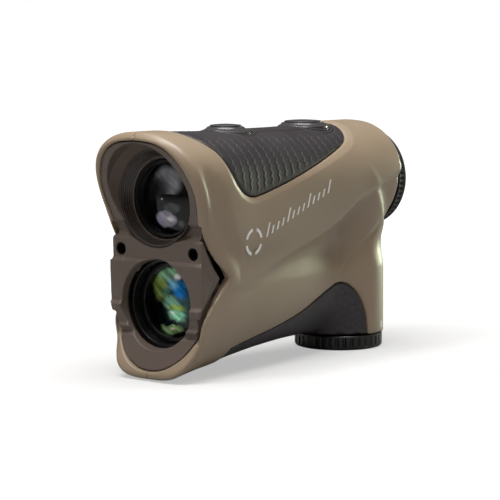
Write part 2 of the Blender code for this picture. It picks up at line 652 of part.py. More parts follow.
def ribbon(path, thickness):
    """The outline of a strip of one thickness along a path."""
    points = np.array(path, float)
    runs = np.gradient(points, axis=0)
    runs /= np.linalg.norm(runs, axis=1)[:, None]
    sides = np.stack([-runs[:, 1], runs[:, 0]], axis=1) * thickness / 2
    return [tuple(point) for point in (*(points + sides), *(points - sides)[::-1])]


def make_battery():
    at = (0, TUBE_Y, 0)
    add("battery_tube", turned(ring_profile(8.2, 10.2, -40.8, -22.0), at=at), "black_plastic")
    profile = ((0, -44.6), (BATTERY_R, -44.6), (BATTERY_R, -18.6), (3.2, -18.6), (3.2, -17.6), (0, -17.6))
    add("battery", turned(profile, at=at), "battery_sleeve", (0, TUBE_Y, -44.6))
    add("positive_contact", turned(disc_profile(4.8, -17.2, -16.7), at=at, segments=16), "gold_contact")
    add("thread_insert", turned(ring_profile(10.1, 11.0, -46.2, -41.2), at=at), "black_aluminium")
    profile = ((0, CAP_BOTTOM), (CAP_R - 1.0, CAP_BOTTOM), (CAP_R, CAP_BOTTOM + 1.0), (CAP_R, CAP_TOP),
               (9.7, CAP_TOP), (9.7, -42.2), (8.4, -42.2), (8.4, -48.2), (0, -48.2))
    add("battery_cap", turned(profile, at=at, segments=48), "black_plastic", (0, TUBE_Y, CAP_BOTTOM))
    add("cap_contact", turned(disc_profile(7.8, -47.9, -47.3), at=at, segments=24), "steel")
    add("cap_o_ring", turned(ring_profile(10.0, 11.0, -47.5, -46.5), at=at, segments=32), "rubber")
    add("contact_spring", coil(6.4, 2.6, -46.6, -45.2, 2.0, 0.3), "steel")


def coil(radius_low, radius_high, low, high, turns, wire):
    """A conical spring of round wire about the battery's axis."""
    shape = bmesh.new()
    rings = []
    count, sides = 30, 6
    for i in range(count + 1):
        part = i / count
        radius = radius_low + (radius_high - radius_low) * part
        angle = 2 * math.pi * turns * part
        centre = Vector((radius * math.cos(angle), TUBE_Y + radius * math.sin(angle), low + (high - low) * part))
        outward = Vector((math.cos(angle), math.sin(angle), 0))
        ring = []
        for k in range(sides):
            turn = 2 * math.pi * k / sides
            ring.append(shape.verts.new(centre + wire * (outward * math.cos(turn) + Vector((0, 0, math.sin(turn))))))
        rings.append(ring)
    loop_faces(shape, rings)
    shape.faces.new(rings[0])
    shape.faces.new(reversed(rings[-1]))
    return shape


def main():
    clear_scene()
    make_housings()
    make_housing_screws()
    make_bezel()
    make_panels()
    make_buttons()
    make_objective()
    make_receiver()
    make_prisms()
    make_eyepiece()
    make_electronics()
    make_battery()


main()
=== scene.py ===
"""The looks of a hand-held laser rangefinder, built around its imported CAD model.

Shapes are worked out in millimetres from the middle of the front rim: X to the user's left, Y back and Z up
from the viewing axis. The moulded pieces are zero surfaces of distance fields, and the round ones are turned.
"""

import math

import bmesh
import bpy
import numpy as np
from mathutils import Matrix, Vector


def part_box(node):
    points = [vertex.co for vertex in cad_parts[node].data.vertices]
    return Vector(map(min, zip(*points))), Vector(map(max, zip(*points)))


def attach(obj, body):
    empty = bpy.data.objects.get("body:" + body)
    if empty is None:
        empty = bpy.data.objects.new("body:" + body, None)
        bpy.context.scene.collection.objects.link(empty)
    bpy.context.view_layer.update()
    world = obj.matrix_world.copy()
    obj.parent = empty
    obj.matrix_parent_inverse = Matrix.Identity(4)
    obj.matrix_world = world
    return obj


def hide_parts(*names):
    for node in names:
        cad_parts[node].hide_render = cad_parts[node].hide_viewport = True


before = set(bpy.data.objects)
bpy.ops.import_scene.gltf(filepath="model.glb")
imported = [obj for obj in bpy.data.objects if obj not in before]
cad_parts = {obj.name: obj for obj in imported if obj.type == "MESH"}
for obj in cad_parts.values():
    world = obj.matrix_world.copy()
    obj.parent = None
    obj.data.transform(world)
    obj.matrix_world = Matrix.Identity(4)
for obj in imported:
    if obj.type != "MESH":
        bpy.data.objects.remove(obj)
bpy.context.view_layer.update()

MM = 0.001
REAR = 104.4
LOW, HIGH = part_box("ocular_cell")
AXIS_HEIGHT = (LOW.z + HIGH.z) / 2 / MM
SHIFT = np.array((0.0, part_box("eyecup")[1].y / MM - REAR, AXIS_HEIGHT))

# The body's outline along its length, as (distance from the rim, value)
BARREL_WIDTH = ((0, 19.8), (14, 19.5), (32, 18.6), (60, 17.9), (90, 17.6), (100, 17.3))
BARREL_TOP = ((0, 18.0), (11, 18.0), (24, 17.7), (55, 17.7), (80, 18.2), (93, 18.2), (100, 17.6))
BARREL_BOTTOM = ((0, 11.5), (20, 12.7), (60, 15.5), (100, 17.1))
BARREL_POWER = ((0, 2.3), (30, 2.3), (70, 2.05), (100, 2.0))
FLANK_BOTTOM = (
    (0, 11.5), (8, 24.0), (17, 45.0), (30, 49.0), (52, 32.6), (65, 24.7), (80, 19.5), (100, 18.2),
)
LOBE_WIDTH = ((0, 17.4), (15, 17.3), (30, 16.2), (50, 14.2), (66, 12.2), (76, 11.2), (90, 9.0))
LOBE_BOTTOM = (
    (0, 51.9), (6, 51.3), (12, 50.7), (20, 49.9), (28, 48.8), (40, 47.4), (57, 46.5), (67, 46.4),
    (76, 46.4),
)
LOBE_POWER = ((0, 3.4), (6, 3.0), (14, 2.7), (24, 2.6), (40, 2.8), (60, 2.8), (76, 2.5))
CREASE_X = (
    (10, 16.9), (17, 16.9), (30, 17.0), (52, 15.4), (65, 14.9), (72, 15.9), (80, 17.0), (90, 17.6),
    (100, 17.5),
)
CREASE_Z = (
    (10, -26.0), (17, -24.8), (25, -24.1), (36, -22.0), (52, -18.0), (64.5, -14.1), (72, -9.2),
    (79, -4.4), (89, 0.0), (97, 2.3), (100, 3.0),
)
BARREL_CENTRE = 1.5                          # heights that the two ovals are drawn about
LOBE_CENTRE = -24.0
LOBE_ABOVE, LOBE_END = 30.0, 86.0
CORE_DROP = 1.3
CREASE_SLOPE = (0.6, 0.8)
BARREL_BLEND, LOBE_BLEND, TUBE_BLEND = 1.2, 3.0, 6.0
TUBE_Y = 89.6
TUBE_R = 14.0
TUBE_BOTTOM = -47.4
BAY_R, BAY_TOP = 11.05, -17.0
TUBE_FOOT_FROM = 70
SLANT_TOP, SLANT = -16.6, 0.85                 # the tube's sloping shoulder at the back
SHELL_END = 99.7
WALL = 2.7
HOLLOW_START = 8.6
SEAM = 0.03
EYE_BORE_R, EYE_BORE_FROM = 15.0, 95.0
PAD_GAP, BEZEL_GAP, WING_GAP, WING_END = 0.15, 0.3, 2.7, 18.0

# Where the shell's front edge lies, as (distance, height): the brow, the notch on each side and the chin;
# and how wide the edge's bevel is at each height
BROW_EDGE = (
    (-8.5, 24.0), (-6.2, 17.5), (-3.4, 9.8), (0.5, 0.0), (3.3, -8.0), (6.6, -14.1), (10.4, -18.6),
    (15.5, -23.1),
)
CHIN_EDGE = (
    (11.6, -27.4), (7.9, -31.2), (4.9, -35.2), (4.1, -41.0), (2.2, -45.0), (0.3, -48.5), (-0.6, -52.0),
    (-0.8, -60.0),
)
RIM_BEVEL = ((-52, 0.9), (-43, 0.9), (-37, 0.4), (-12, 0.4), (-3, 1.7), (19, 2.2))

PAD_OUTLINE = (
    (8.1, 17.2), (10.5, 14.4), (12.4, 12.2), (13.8, 9.5), (15.3, 6.5), (17.3, 3.3), (20.4, 0.5), (24.6, -0.9),
    (29.6, -0.4), (36.4, 1.1), (42.5, 2.6), (49.9, 4.6), (58.0, 6.9), (65.8, 9.2), (71.9, 11.1), (76.4, 12.9),
    (79.2, 15.0), (81.0, 17.0),
)
GRIP_OUTLINE = (
    (18.0, -55.0), (22.0, -44.5), (31.6, -42.4), (42.7, -40.3), (53.9, -37.6), (63.0, -34.3), (70.5, -31.6),
    (74.0, -30.6), (77.4, -30.7), (80.2, -31.9), (82.8, -34.2), (84.9, -37.6), (86.2, -41.4), (86.9, -46.0),
)
BEZEL_HALF = (
    (0.0, 15.4), (6.0, 14.9), (10.5, 13.2), (14.0, 9.9), (16.2, 5.6), (17.0, 1.4), (16.8, -2.2), (16.0, -6.5),
    (15.4, -12.0), (15.2, -17.0), (15.2, -24.0), (15.2, -31.0), (15.1, -36.0), (14.2, -39.4), (12.7, -42.4),
    (10.4, -45.2), (7.2, -47.5), (3.6, -48.9), (0.0, -49.3),
)
WING_OUTLINE = (
    (-4.0, -10.0), (4.2, -10.8), (8.2, -18.2), (12.2, -23.1), (9.0, -26.8), (5.3, -30.8), (3.0, -35.4),
    (2.7, -39.0), (-4.0, -40.0),
)
PANEL_OUTLINE = ((0.0, -19.1), (3.9, -19.1), (8.2, -24.2), (3.9, -31.6), (0.0, -31.6))
FACE_STEPS = (
    (-8.5, 27.0), (-5.6, 17.5), (-2.8, 9.8), (1.0, 0.3), (3.9, -7.6), (5.6, -8.8), (5.7, -11.0),
    (4.0, -12.9), (4.3, -18.2), (3.4, -19.3), (3.9, -30.7), (3.0, -31.8), (4.6, -36.8), (3.8, -37.8),
    (5.2, -39.3), (4.3, -40.4), (0.9, -49.3), (0.4, -56.0),
)
BEZEL_BACK = 9.8
SCREW_X, SCREW_Z, SCREW_SEAT, SCREW_WELL_R, SCREW_SHANK_R = 13.5, -15.9, 8.8, 1.85, 1.15
WING_INSET, PANEL_INSET, WING_IN, WING_OUT, WING_BACK = 0.7, 0.25, 12.4, 14.9, 13.5
PLATE_WALL, PLATE_THICK, PLATE_HOLLOW_TOP = 2.6, 7.2, -14.9
FUNNEL = ((-12.0, 14.9), (0.5, 14.9), (4.9, 13.5), (7.8, 11.5), (8.0, 12.6), (20.0, 12.6))
RIB_START, RIB_PITCH, RIB_DEPTH, RIB_COUNT = 4.0, 0.54, 0.2, 7
UPPER_Z = -1.2
LOWER_Z = -30.9
LOWER_FUNNEL = ((-6.0, 12.95), (3.6, 12.9), (6.0, 12.5), (7.0, 13.2), (20.0, 13.2))

PAD_RECESS = 0.65
BORDER = 1.7
GRIP_RECESS, GRIP_DIP = 0.3, 0.15
PANEL_DEPTH = 1.2
SCALE_PITCH, SCALE_WAVE, SCALE_LENGTH, SCALE_RISE = 3.4, 0.36, 1.8, 0.08
SCALE_RADIUS, SCALE_CENTRE = 18.5, -2.0
CELL_PITCH, CELL_DEPTH = 2.6, 0.16
PANEL_THICK = PANEL_DEPTH - 0.25

# Buttons: name, distance from the rim, key radius, surround radius
BUTTONS = (("front", 34.6, 4.9, 7.5), ("rear", 71.2, 5.9, 7.9))
KEY_TOP, KEY_DOME = 18.9, 0.3
COLLAR_TOP, COLLAR_HEIGHT, COLLAR_FLARE = 18.1, 1.4, 2.1
STRIP_ENDS_R, STRIP_HALF, STRIP_MIDDLE, STRIP_REACH, STRIP_BLEND = (9.0, 9.4), 6.0, 53.0, 18.0, 2.0
STRIP_GROOVE = 0.28

# The side's scoop behind the brow, and the crease in front of the battery tube, which runs from one
# (distance, height) to the other
SCOOP_DEPTH, SCOOP_PLACE, SCOOP_WIDTH = 0.9, 5.8, 3.0
CREASE_DEPTH, CREASE_WIDTH = 0.45, 1.1
CREASE_START, CREASE_END = np.array((72.5, -30.5)), np.array((93.0, -13.0))
BOSS_R, HEAD_HOLE_R, SHANK_HOLE_R = 2.9, 2.1, 1.2

# The printed scale's bars and the ring beside it, seen from the side
BAR_START, BAR_RUN, BAR_RISE = np.array((30.8, -12.8)), np.array((0.94, 0.34)), np.array((0.25, 0.97))
BAR_COUNT, BAR_PITCH, BAR_WIDTH, LONG_BAR, SHORT_BAR = 13, 2.6, 0.75, 4.2, 2.4
RING_CENTRE, RING_IN, RING_OUT, RING_STEPS = np.array((25.0, -13.6)), 3.1, 4.0, 24

# Screws that close the two halves: distance from the rim, height, depth of the head's seat
HOUSING_SCREWS = ((24.0, 13.2, 6.8), (53.0, 12.9, 6.0), (50.0, -42.0, 6.2), (67.0, -39.0, 6.4))


# ---------------------------------------------------------------- curves and fields

def smooth_through(places, knots):
    """Reads a smooth curve through a few (place, value) knots, without overshoot between them."""
    u, v = np.array(knots, float).T
    step = np.diff(u)
    slope = np.diff(v) / step
    before, after = slope[:-1], slope[1:]
    same_way = before * after > 0
    middle = np.where(same_way, 2 * before * after / np.where(same_way, before + after, 1), 0)
    tangent = np.concatenate([slope[:1], middle, slope[-1:]])
    i = np.clip(np.searchsorted(u, places) - 1, 0, len(step) - 1)
    t = np.clip((places - u[i]) / step[i], 0, 1)
    rise = 3 * t**2 - 2 * t**3
    bend = tangent[i] * (t**3 - 2 * t**2 + t) + tangent[i + 1] * (t**3 - t**2)
    return v[i] * (1 - rise) + v[i + 1] * rise + bend * step[i]


def curve_through(points, steps=5):
    """A smooth open curve through the points."""
    p = np.array(points, float)
    p = np.concatenate([[2 * p[0] - p[1]], p, [2 * p[-1] - p[-2]]])
    t = np.linspace(0, 1, steps, endpoint=False)[:, None]
    made = []
    for a, b, c, d in zip(p, p[1:], p[2:], p[3:]):
        bend = t**2 * (a - 2.5 * b + 2 * c - d / 2) + t**3 * (1.5 * (b - c) + (d - a) / 2)
        made.append(b + t * (c - a) / 2 + bend)
    return np.concatenate([*made, p[-2:-1]])


def smooth_step(low, high, value):
    t = np.clip((value - low) / (high - low), 0, 1)
    return t * t * (3 - 2 * t)


def join(a, b, blend):
    """The union of two fields, with a fillet."""
    mix = np.clip(0.5 + 0.5 * (b - a) / blend, 0, 1)
    return b * (1 - mix) + a * mix - blend * mix * (1 - mix)


def common(a, b, blend):
    """The intersection of two fields, with a rounded edge."""
    return -join(-a, -b, blend)


def cut(a, b, blend):
    return common(a, -b, blend)


def outline_field(points, step=0.25, margin=5.0):
    """The signed distance to a closed outline in a plane, read from a table and negative inside."""
    points = np.array(points, float)
    low, high = points.min(0) - margin, points.max(0) + margin
    u = np.arange(low[0], high[0], step)
    v = np.arange(low[1], high[1], step)
    grid_u, grid_v = np.meshgrid(u, v, indexing="ij")
    nearest = np.full(grid_u.shape, 1e9)
    inside = np.zeros(grid_u.shape, bool)
    for (ax, ay), (bx, by) in zip(points, np.roll(points, -1, axis=0)):
        dx, dy = bx - ax, by - ay
        t = np.clip(((grid_u - ax) * dx + (grid_v - ay) * dy) / max(dx * dx + dy * dy, 1e-12), 0, 1)
        nearest = np.minimum(nearest, (grid_u - ax - t * dx) ** 2 + (grid_v - ay - t * dy) ** 2)
        if ay != by:
            crosses = (ay > grid_v) != (by > grid_v)
            inside ^= crosses & (grid_u < ax + (grid_v - ay) * dx / dy)
    table = np.sqrt(nearest) * np.where(inside, -1, 1)

    def read(a, b):
        i = np.clip((a - low[0]) / step, 0, len(u) - 1.001)
        j = np.clip((b - low[1]) / step, 0, len(v) - 1.001)
        i0, j0 = i.astype(int), j.astype(int)
        i, j = i - i0, j - j0
        near = table[i0, j0] * (1 - j) + table[i0, j0 + 1] * j
        far = table[i0 + 1, j0] * (1 - j) + table[i0 + 1, j0 + 1] * j
        return near * (1 - i) + far * i

    return read


def mirrored(half):
    return np.concatenate([half, [(-x, z) for x, z in half[-2:0:-1]]])


front_edge = outline_field([*curve_through(BROW_EDGE), *curve_through(CHIN_EDGE), (-22, -60), (-22, 24)])
pad_outline = outline_field([(8.0, 27.0), *curve_through(PAD_OUTLINE), (81.2, 27.0)])
grip_outline = outline_field([*curve_through(GRIP_OUTLINE[1:]), (87.2, -57.0), (18.0, -57.0)])
bezel_outline = outline_field(mirrored(curve_through(BEZEL_HALF)))
wing_outline = outline_field(WING_OUTLINE)
panel_outline = outline_field(PANEL_OUTLINE)
bezel_face = outline_field([*FACE_STEPS, (30.0, -56.0), (30.0, 27.0)])


def oval(x, z, half_width, half_height, power):
    size = ((x / half_width) ** power + (z / half_height) ** power) ** (1 / power)
    return (size - 1) * np.hypot(x, z) / size


def body(x, y, z):
    """The outer form: the barrel with its creased flanks, the lobe under it and the battery tube."""
    x = np.abs(x) + 1e-6
    up = np.abs(z - BARREL_CENTRE) + 1e-6
    above = z > BARREL_CENTRE
    top = smooth_through(y, BARREL_TOP) - BARREL_CENTRE
    width = smooth_through(y, BARREL_WIDTH)
    power = smooth_through(y, BARREL_POWER)
    deep = smooth_through(y, FLANK_BOTTOM) + BARREL_CENTRE
    flank = oval(x, up, width, np.where(above, top, deep), power)
    out, down = CREASE_SLOPE
    under = out * (x - smooth_through(y, CREASE_X)) + down * (smooth_through(y, CREASE_Z) - z)
    flank = common(flank, under, 1.0)
    below = smooth_through(y, BARREL_BOTTOM) + BARREL_CENTRE
    core = oval(x, up, width - CORE_DROP, np.where(above, top, below) - CORE_DROP, power)
    up = np.abs(z - LOBE_CENTRE) + 1e-6
    height = np.where(z < LOBE_CENTRE, smooth_through(y, LOBE_BOTTOM) + LOBE_CENTRE, LOBE_ABOVE)
    lobe = oval(x, up, smooth_through(y, LOBE_WIDTH), height, smooth_through(y, LOBE_POWER))
    lobe = common(lobe, y - LOBE_END, 0.5)
    shape = join(join(flank, core, BARREL_BLEND), lobe, LOBE_BLEND)
    slant = (z - SLANT_TOP + SLANT * (y - SHELL_END)) / math.hypot(1, SLANT)
    tube = common(np.hypot(x, y - TUBE_Y) - TUBE_R, slant, 1.2)
    shape = common(shape, y - SHELL_END, 1.6)
    foot = TUBE_BOTTOM - z - 100 * (y < TUBE_FOOT_FROM)
    return common(join(shape, tube, TUBE_BLEND), foot, 0.4)


def turned_hole(x, y, z, profile):
    places, radii = np.array(profile, float).T
    return np.hypot(x, z) - np.interp(y, places, radii)


def scoop(y, z):
    """How far the side is drawn in behind the brow's flared edge."""
    hollow = np.exp(-(((front_edge(y, z) - SCOOP_PLACE) / SCOOP_WIDTH) ** 2))
    return SCOOP_DEPTH * hollow * smooth_step(12.0, 3.0, z) * smooth_step(-27.0, -21.0, z)


def tube_crease(y, z):
    """The soft groove that runs up in front of the battery tube."""
    run = CREASE_END - CREASE_START
    length = math.hypot(*run)
    along = ((y - CREASE_START[0]) * run[0] + (z - CREASE_START[1]) * run[1]) / length**2
    off = ((z - CREASE_START[1]) * run[0] - (y - CREASE_START[0]) * run[1]) / length
    ends = smooth_step(0.0, 0.3, along) * smooth_step(1.15, 0.8, along)
    return CREASE_DEPTH * np.exp(-((off / CREASE_WIDTH) ** 2)) * ends


def shell(x, y, z):
    form = body(x, y, z)
    pad = pad_outline(y, z)
    grip = grip_outline(y, z)
    solid = form + PAD_RECESS * np.clip((BORDER - pad) / BORDER, 0, 1)
    solid = solid + GRIP_DIP * (1 - smooth_step(0.1, 1.0, grip))
    solid = solid + (scoop(y, z) + tube_crease(y, z)) * smooth_step(7.0, 11.0, np.abs(x))
    rim = -front_edge(y, z)
    bevel = (solid + rim + smooth_through(z, RIM_BEVEL)) / math.sqrt(2)
    solid = common(common(solid, rim, 0.5), bevel, 0.9)
    for outline, recess in ((pad, PAD_RECESS), (grip, GRIP_RECESS)):
        pocket = common(outline - PAD_GAP, -(form + recess + PANEL_DEPTH), 0.3)
        solid = cut(solid, pocket, 0.25)
    solid = cut(solid, np.maximum(bezel_outline(x, z) - 0.28, y - BEZEL_BACK - BEZEL_GAP), 0.5)
    wing_pocket = np.maximum(wing_outline(y, z) - WING_GAP, form + 1.0)
    solid = cut(solid, np.maximum(wing_pocket, y - WING_END), 0.3)
    solid = cut(solid, np.maximum(np.hypot(x, z) - EYE_BORE_R, EYE_BORE_FROM - y), 0.5)
    for _, place, key, _ in BUTTONS:
        shaft = np.hypot(x, y - place) - key + 1.2
        solid = np.maximum(solid, -np.maximum(shaft, 8.0 - z))
    solid = np.maximum(solid, -cavity(form, y))
    solid = np.maximum(solid, -np.maximum(np.hypot(x, y - TUBE_Y) - BAY_R, z - BAY_TOP))
    for place, height, _ in HOUSING_SCREWS:
        boss = np.hypot(y - place, z - height) - BOSS_R
        solid = np.minimum(solid, np.maximum(boss, form + 0.5 * WALL))
    return solid


def left_half(x, y, z):
    return np.maximum(shell(x, y, z), SEAM - x)


def right_half(x, y, z):
    """The half with the closing screws' holes, seen mirrored, so that it also lies at X above 0."""
    solid = left_half(x, y, z)
    for place, height, seat in HOUSING_SCREWS:
        out = np.hypot(y - place, z - height)
        hole = np.where(x > seat, out - HEAD_HOLE_R, out - SHANK_HOLE_R)
        solid = np.maximum(solid, -np.maximum(hole, -x))
    return solid


def cavity(form, y):
    return common(common(form + WALL, HOLLOW_START - y, 0.5), y - SHELL_END + 2.0, 0.5)


def bezel(x, y, z):
    form = body(x, y, z)
    face = bezel_face(y, z)
    plate = common(bezel_outline(x, z) + 0.02, face, 0.3)
    wing = common(common(wing_outline(y, z), form + WING_INSET, 0.4), face, 0.3)
    panel = common(common(panel_outline(y, z), form + PANEL_INSET, 0.2), face, 0.2)
    wing = np.maximum(np.minimum(wing, panel), WING_IN - np.abs(x))
    solid = join(plate, wing, 0.4)
    solid = common(solid, y - np.where(np.abs(x) > WING_OUT, WING_BACK, BEZEL_BACK), 0.2)
    solid = cut(solid, turned_hole(x, y, z - UPPER_Z * np.clip(y / FUNNEL[3][0], 0, 1), FUNNEL), 0.25)
    solid = cut(solid, turned_hole(x, y, z - LOWER_Z, LOWER_FUNNEL), 0.35)
    screw = np.hypot(np.abs(x) - SCREW_X, z - SCREW_Z)
    solid = cut(solid, np.where(y < SCREW_SEAT, screw - SCREW_WELL_R, screw - SCREW_SHANK_R), 0.15)
    hollow = np.maximum(np.maximum(form + PLATE_WALL, PLATE_THICK - y), z - PLATE_HOLLOW_TOP)
    return common(solid, -hollow, 0.2)


def scales(y, around):
    """The pad's raised zig-zag lines, from 0 between them to 1 on their ridges."""
    wave = np.abs((around / SCALE_LENGTH) % 1 - 0.5) * 4 - 1
    across = (y - SCALE_WAVE * wave) / SCALE_PITCH
    off = np.abs(across - np.round(across)) * SCALE_PITCH
    return 1 - smooth_step(0.1, 0.45, off)


def smooth_strip(x, y):
    """Distance outside the smooth strip that joins the two button surrounds, seen from above."""
    first, second = (np.hypot(x, y - row[1]) - r for row, r in zip(BUTTONS, STRIP_ENDS_R))
    strip = np.maximum(np.abs(x) - STRIP_HALF, np.abs(y - STRIP_MIDDLE) - STRIP_REACH)
    return join(join(first, strip, STRIP_BLEND), second, STRIP_BLEND)


def pad(x, y, z):
    form = body(x, y, z)
    strip = smooth_strip(x, y)
    around = np.arctan2(np.abs(x), z - SCALE_CENTRE) * SCALE_RADIUS
    edge = pad_outline(y, z)
    shown = smooth_step(1.0, 4.0, strip) * smooth_step(0.6, 2.2, -edge)
    relief = SCALE_RISE * scales(y, around) * shown
    groove = STRIP_GROOVE * (1 - smooth_step(0.1, 0.4, np.abs(strip)))
    top = form + PAD_RECESS - 0.1 - relief + groove
    solid = common(common(top, edge + 0.12, 0.7), -(form + PAD_RECESS + PANEL_THICK), 0.2)
    for _, place, _, radius in BUTTONS:
        solid = cut(solid, np.hypot(x, y - place) - radius - 0.2, 0.4)
    return solid


def cells(a, b, pitch):
    """Distance from the edges of hexagonal cells in a plane."""
    best = np.full(np.broadcast(a, b).shape, 1e9)
    second = best.copy()
    a, b = a / pitch, b / pitch
    row_height = math.sqrt(3)
    for shift in (0.0, 0.5):
        i = np.round(a - shift)
        j = np.round(b / row_height - shift)
        for di in (-1, 0, 1):
            distance = (a - i - di - shift) ** 2 + ((b / row_height - j - shift) * row_height) ** 2
            second = np.minimum(second, np.maximum(best, distance))
            best = np.minimum(best, distance)
    return (np.sqrt(second) - np.sqrt(best)) * pitch / 2


def grip(x, y, z):
    form = body(x, y, z)
    edge = grip_outline(y, z)
    shown = smooth_step(72.0, 77.0, y) * smooth_step(0.5, 1.2, -edge)
    shown = shown * smooth_step(5.0, 8.5, np.abs(x))
    relief = CELL_DEPTH * (1 - smooth_step(0.1, 0.4, cells(z, y, CELL_PITCH))) * shown
    top = form + GRIP_RECESS + relief
    solid = common(common(top, edge + 0.15, 0.5), -(form + GRIP_RECESS + PANEL_THICK), 0.2)
    return np.maximum(solid, BAY_R - np.hypot(x, y - TUBE_Y))


# ---------------------------------------------------------------- meshing

CORNERS = [(i, j, k) for i in (0, 1) for j in (0, 1) for k in (0, 1)]


def surface_net(values, low, step):
    """Joins the cells that a zero surface passes through, as (points, quads)."""
    inside = values < 0
    count = np.zeros([n - 1 for n in values.shape], np.int8)
    windows = []
    for corner in CORNERS:
        window = tuple(slice(c, c + n - 1) for c, n in zip(corner, values.shape))
        windows.append(window)
        count += inside[window]
    active = (count > 0) & (count < 8)
    index = np.full(active.shape, -1)
    index[active] = np.arange(active.sum())
    corner_values = [values[window][active] for window in windows]
    total = np.zeros((len(corner_values[0]), 3))
    hits = np.zeros(len(total))
    for a in range(8):
        for b in range(a + 1, 8):
            run = np.array(CORNERS[b]) - CORNERS[a]
            if abs(run).sum() != 1:
                continue
            first, second = corner_values[a], corner_values[b]
            crosses = (first < 0) != (second < 0)
            t = np.where(crosses, first / np.where(crosses, first - second, 1), 0)
            total += crosses[:, None] * (np.array(CORNERS[a]) + t[:, None] * run)
            hits += crosses
    points = low + (np.argwhere(active) + total / hits[:, None]) * step
    quads = []
    for axis in range(3):
        along = np.diff(inside.astype(np.int8), axis=axis)
        others = [k for k in range(3) if k != axis]
        window = [slice(None)] * 3
        for k in others:
            window[k] = slice(1, -1)
        window = tuple(window)
        at = np.argwhere(along[window] != 0)
        way = along[window][along[window] != 0]
        for k in others:
            at[:, k] += 1
        ring = []
        for da, db in ((1, 1), (0, 1), (0, 0), (1, 0)):
            place = at.copy()
            place[:, others[0]] -= da
            place[:, others[1]] -= db
            ring.append(index[tuple(place.T)])
        ring = np.array(ring).T
        turn = way > 0 if axis == 1 else way < 0
        ring[turn] = ring[turn][:, ::-1]
        quads.append(ring)
    return points, np.concatenate(quads)


def settle(points, field, step):
    """Moves points onto a field's zero surface."""
    reach = 0.02
    for _ in range(2):
        value = field(*points.T)
        slope = np.empty_like(points)
        for k in range(3):
            ahead, behind = points.copy(), points.copy()
            ahead[:, k] += reach
            behind[:, k] -= reach
            slope[:, k] = (field(*ahead.T) - field(*behind.T)) / (2 * reach)
        move = -(value / np.maximum((slope**2).sum(1), 0.3))[:, None] * slope
        size = np.linalg.norm(move, axis=1)
        points = points + move * np.minimum(1, 0.6 * step / np.maximum(size, 1e-9))[:, None]
    return points


def moulded(name, field, low, high, step, side=0):
    """A closed mesh of a field that is the same on both sides of X = 0, or only its half on one side."""
    x = np.arange(-1.5 if side else 0.5, (high[0] / step) + 1) * step
    y = np.arange(low[1], high[1], step)[:, None]
    z = np.arange(low[2], high[2], step)[None, :]
    values = np.stack([field(np.full((1, 1), place), y, z) for place in x])
    if not side:
        values = np.concatenate([values[::-1], values])
    points, quads = surface_net(values, np.array((x[0] if side else -x[-1], low[1], low[2])), step)
    points = settle(points, field, step)
    if side < 0:
        points, quads = points * (-1, 1, 1), quads[:, ::-1]
    return piece_of(name, points, quads.tolist())


def piece_of(name, points, faces):
    mesh = bpy.data.meshes.new(name)
    mesh.from_pydata(((points + SHIFT) * MM).tolist(), [], faces)
    return placed(name, mesh)


def placed(name, data):
    made = bpy.data.objects.new(name, data)
    bpy.context.scene.collection.objects.link(made)
    return made


def face_outwards(mesh):
    shape = bmesh.new()
    shape.from_mesh(mesh)
    bmesh.ops.recalc_face_normals(shape, faces=shape.faces)
    shape.to_mesh(mesh)
    shape.free()


def boolean(piece, other, operation):
    """Applies a Boolean with another closed mesh."""
    step = piece.modifiers.new(operation, "BOOLEAN")
    step.operation = operation
    step.solver = "MANIFOLD"
    step.object = other
    bpy.context.view_layer.update()
    graph = bpy.context.evaluated_depsgraph_get()
    mesh = bpy.data.meshes.new_from_object(piece.evaluated_get(graph))
    piece.modifiers.clear()
    piece.data = mesh


def discard(*pieces):
    for piece in pieces:
        bpy.data.objects.remove(piece)


def box_piece(name, low, high):
    corners = np.array([[(low, high)[c][k] for k, c in enumerate(corner)] for corner in CORNERS], float)
    faces = [(0, 1, 3, 2), (4, 6, 7, 5), (0, 4, 5, 1), (2, 3, 7, 6), (0, 2, 6, 4), (1, 5, 7, 3)]
    return piece_of(name, corners, faces)


def rounded(profile, radius, steps=4):
    """Rounds the corners of a closed (radius, height) outline; points on the axis stay."""
    points = [np.array(p, float) for p in profile]
    made = []
    for i, here in enumerate(points):
        before, after = points[i - 1], points[(i + 1) % len(points)]
        if here[0] == 0:
            made.append(tuple(here))
            continue
        back, ahead = before - here, after - here
        room = min(np.linalg.norm(back), np.linalg.norm(ahead)) * 0.45
        reach = min(radius, room)
        first = here + back / np.linalg.norm(back) * reach
        last = here + ahead / np.linalg.norm(ahead) * reach
        for k in range(steps + 1):
            t = k / steps
            made.append(tuple((1 - t) ** 2 * first + 2 * t * (1 - t) * here + t * t * last))
    return made


def turned(name, profile, axis, at, segments=128, shape=None):
    """Turns a closed (radius, height) outline about an axis; shape() says how each radius varies."""
    profile = np.array(profile, float)
    angles = np.linspace(0, 2 * np.pi, segments, endpoint=False)
    rings, points, count = [], [], 0
    for radius, height in profile:
        if radius == 0:
            points.append(np.array(((0.0, 0.0, height),)))
            rings.append(np.array((count,)))
        else:
            reach = np.full(segments, radius) if shape is None else shape(radius, height, angles)
            ring = (reach * np.cos(angles), reach * np.sin(angles), np.full(segments, height))
            points.append(np.stack(ring, 1))
            rings.append(np.arange(count, count + segments))
        count += len(points[-1])
    faces = []
    for first, second in zip(rings, rings[1:] + rings[:1]):
        if len(first) == 1 and len(second) == 1:
            continue
        for i in range(segments):
            j = (i + 1) % segments
            loop = [first[i % len(first)], first[j % len(first)],
                    second[j % len(second)], second[i % len(second)]]
            faces.append([int(corner) for corner in dict.fromkeys(loop)])
    points = np.concatenate(points)
    if axis == "Y":
        points = np.stack([points[:, 0], points[:, 2], -points[:, 1]], 1)
    elif axis == "X":
        points = np.stack([points[:, 2], points[:, 1], -points[:, 0]], 1)
    made = piece_of(name, points + np.array(at), faces)
    face_outwards(made.data)
    return made


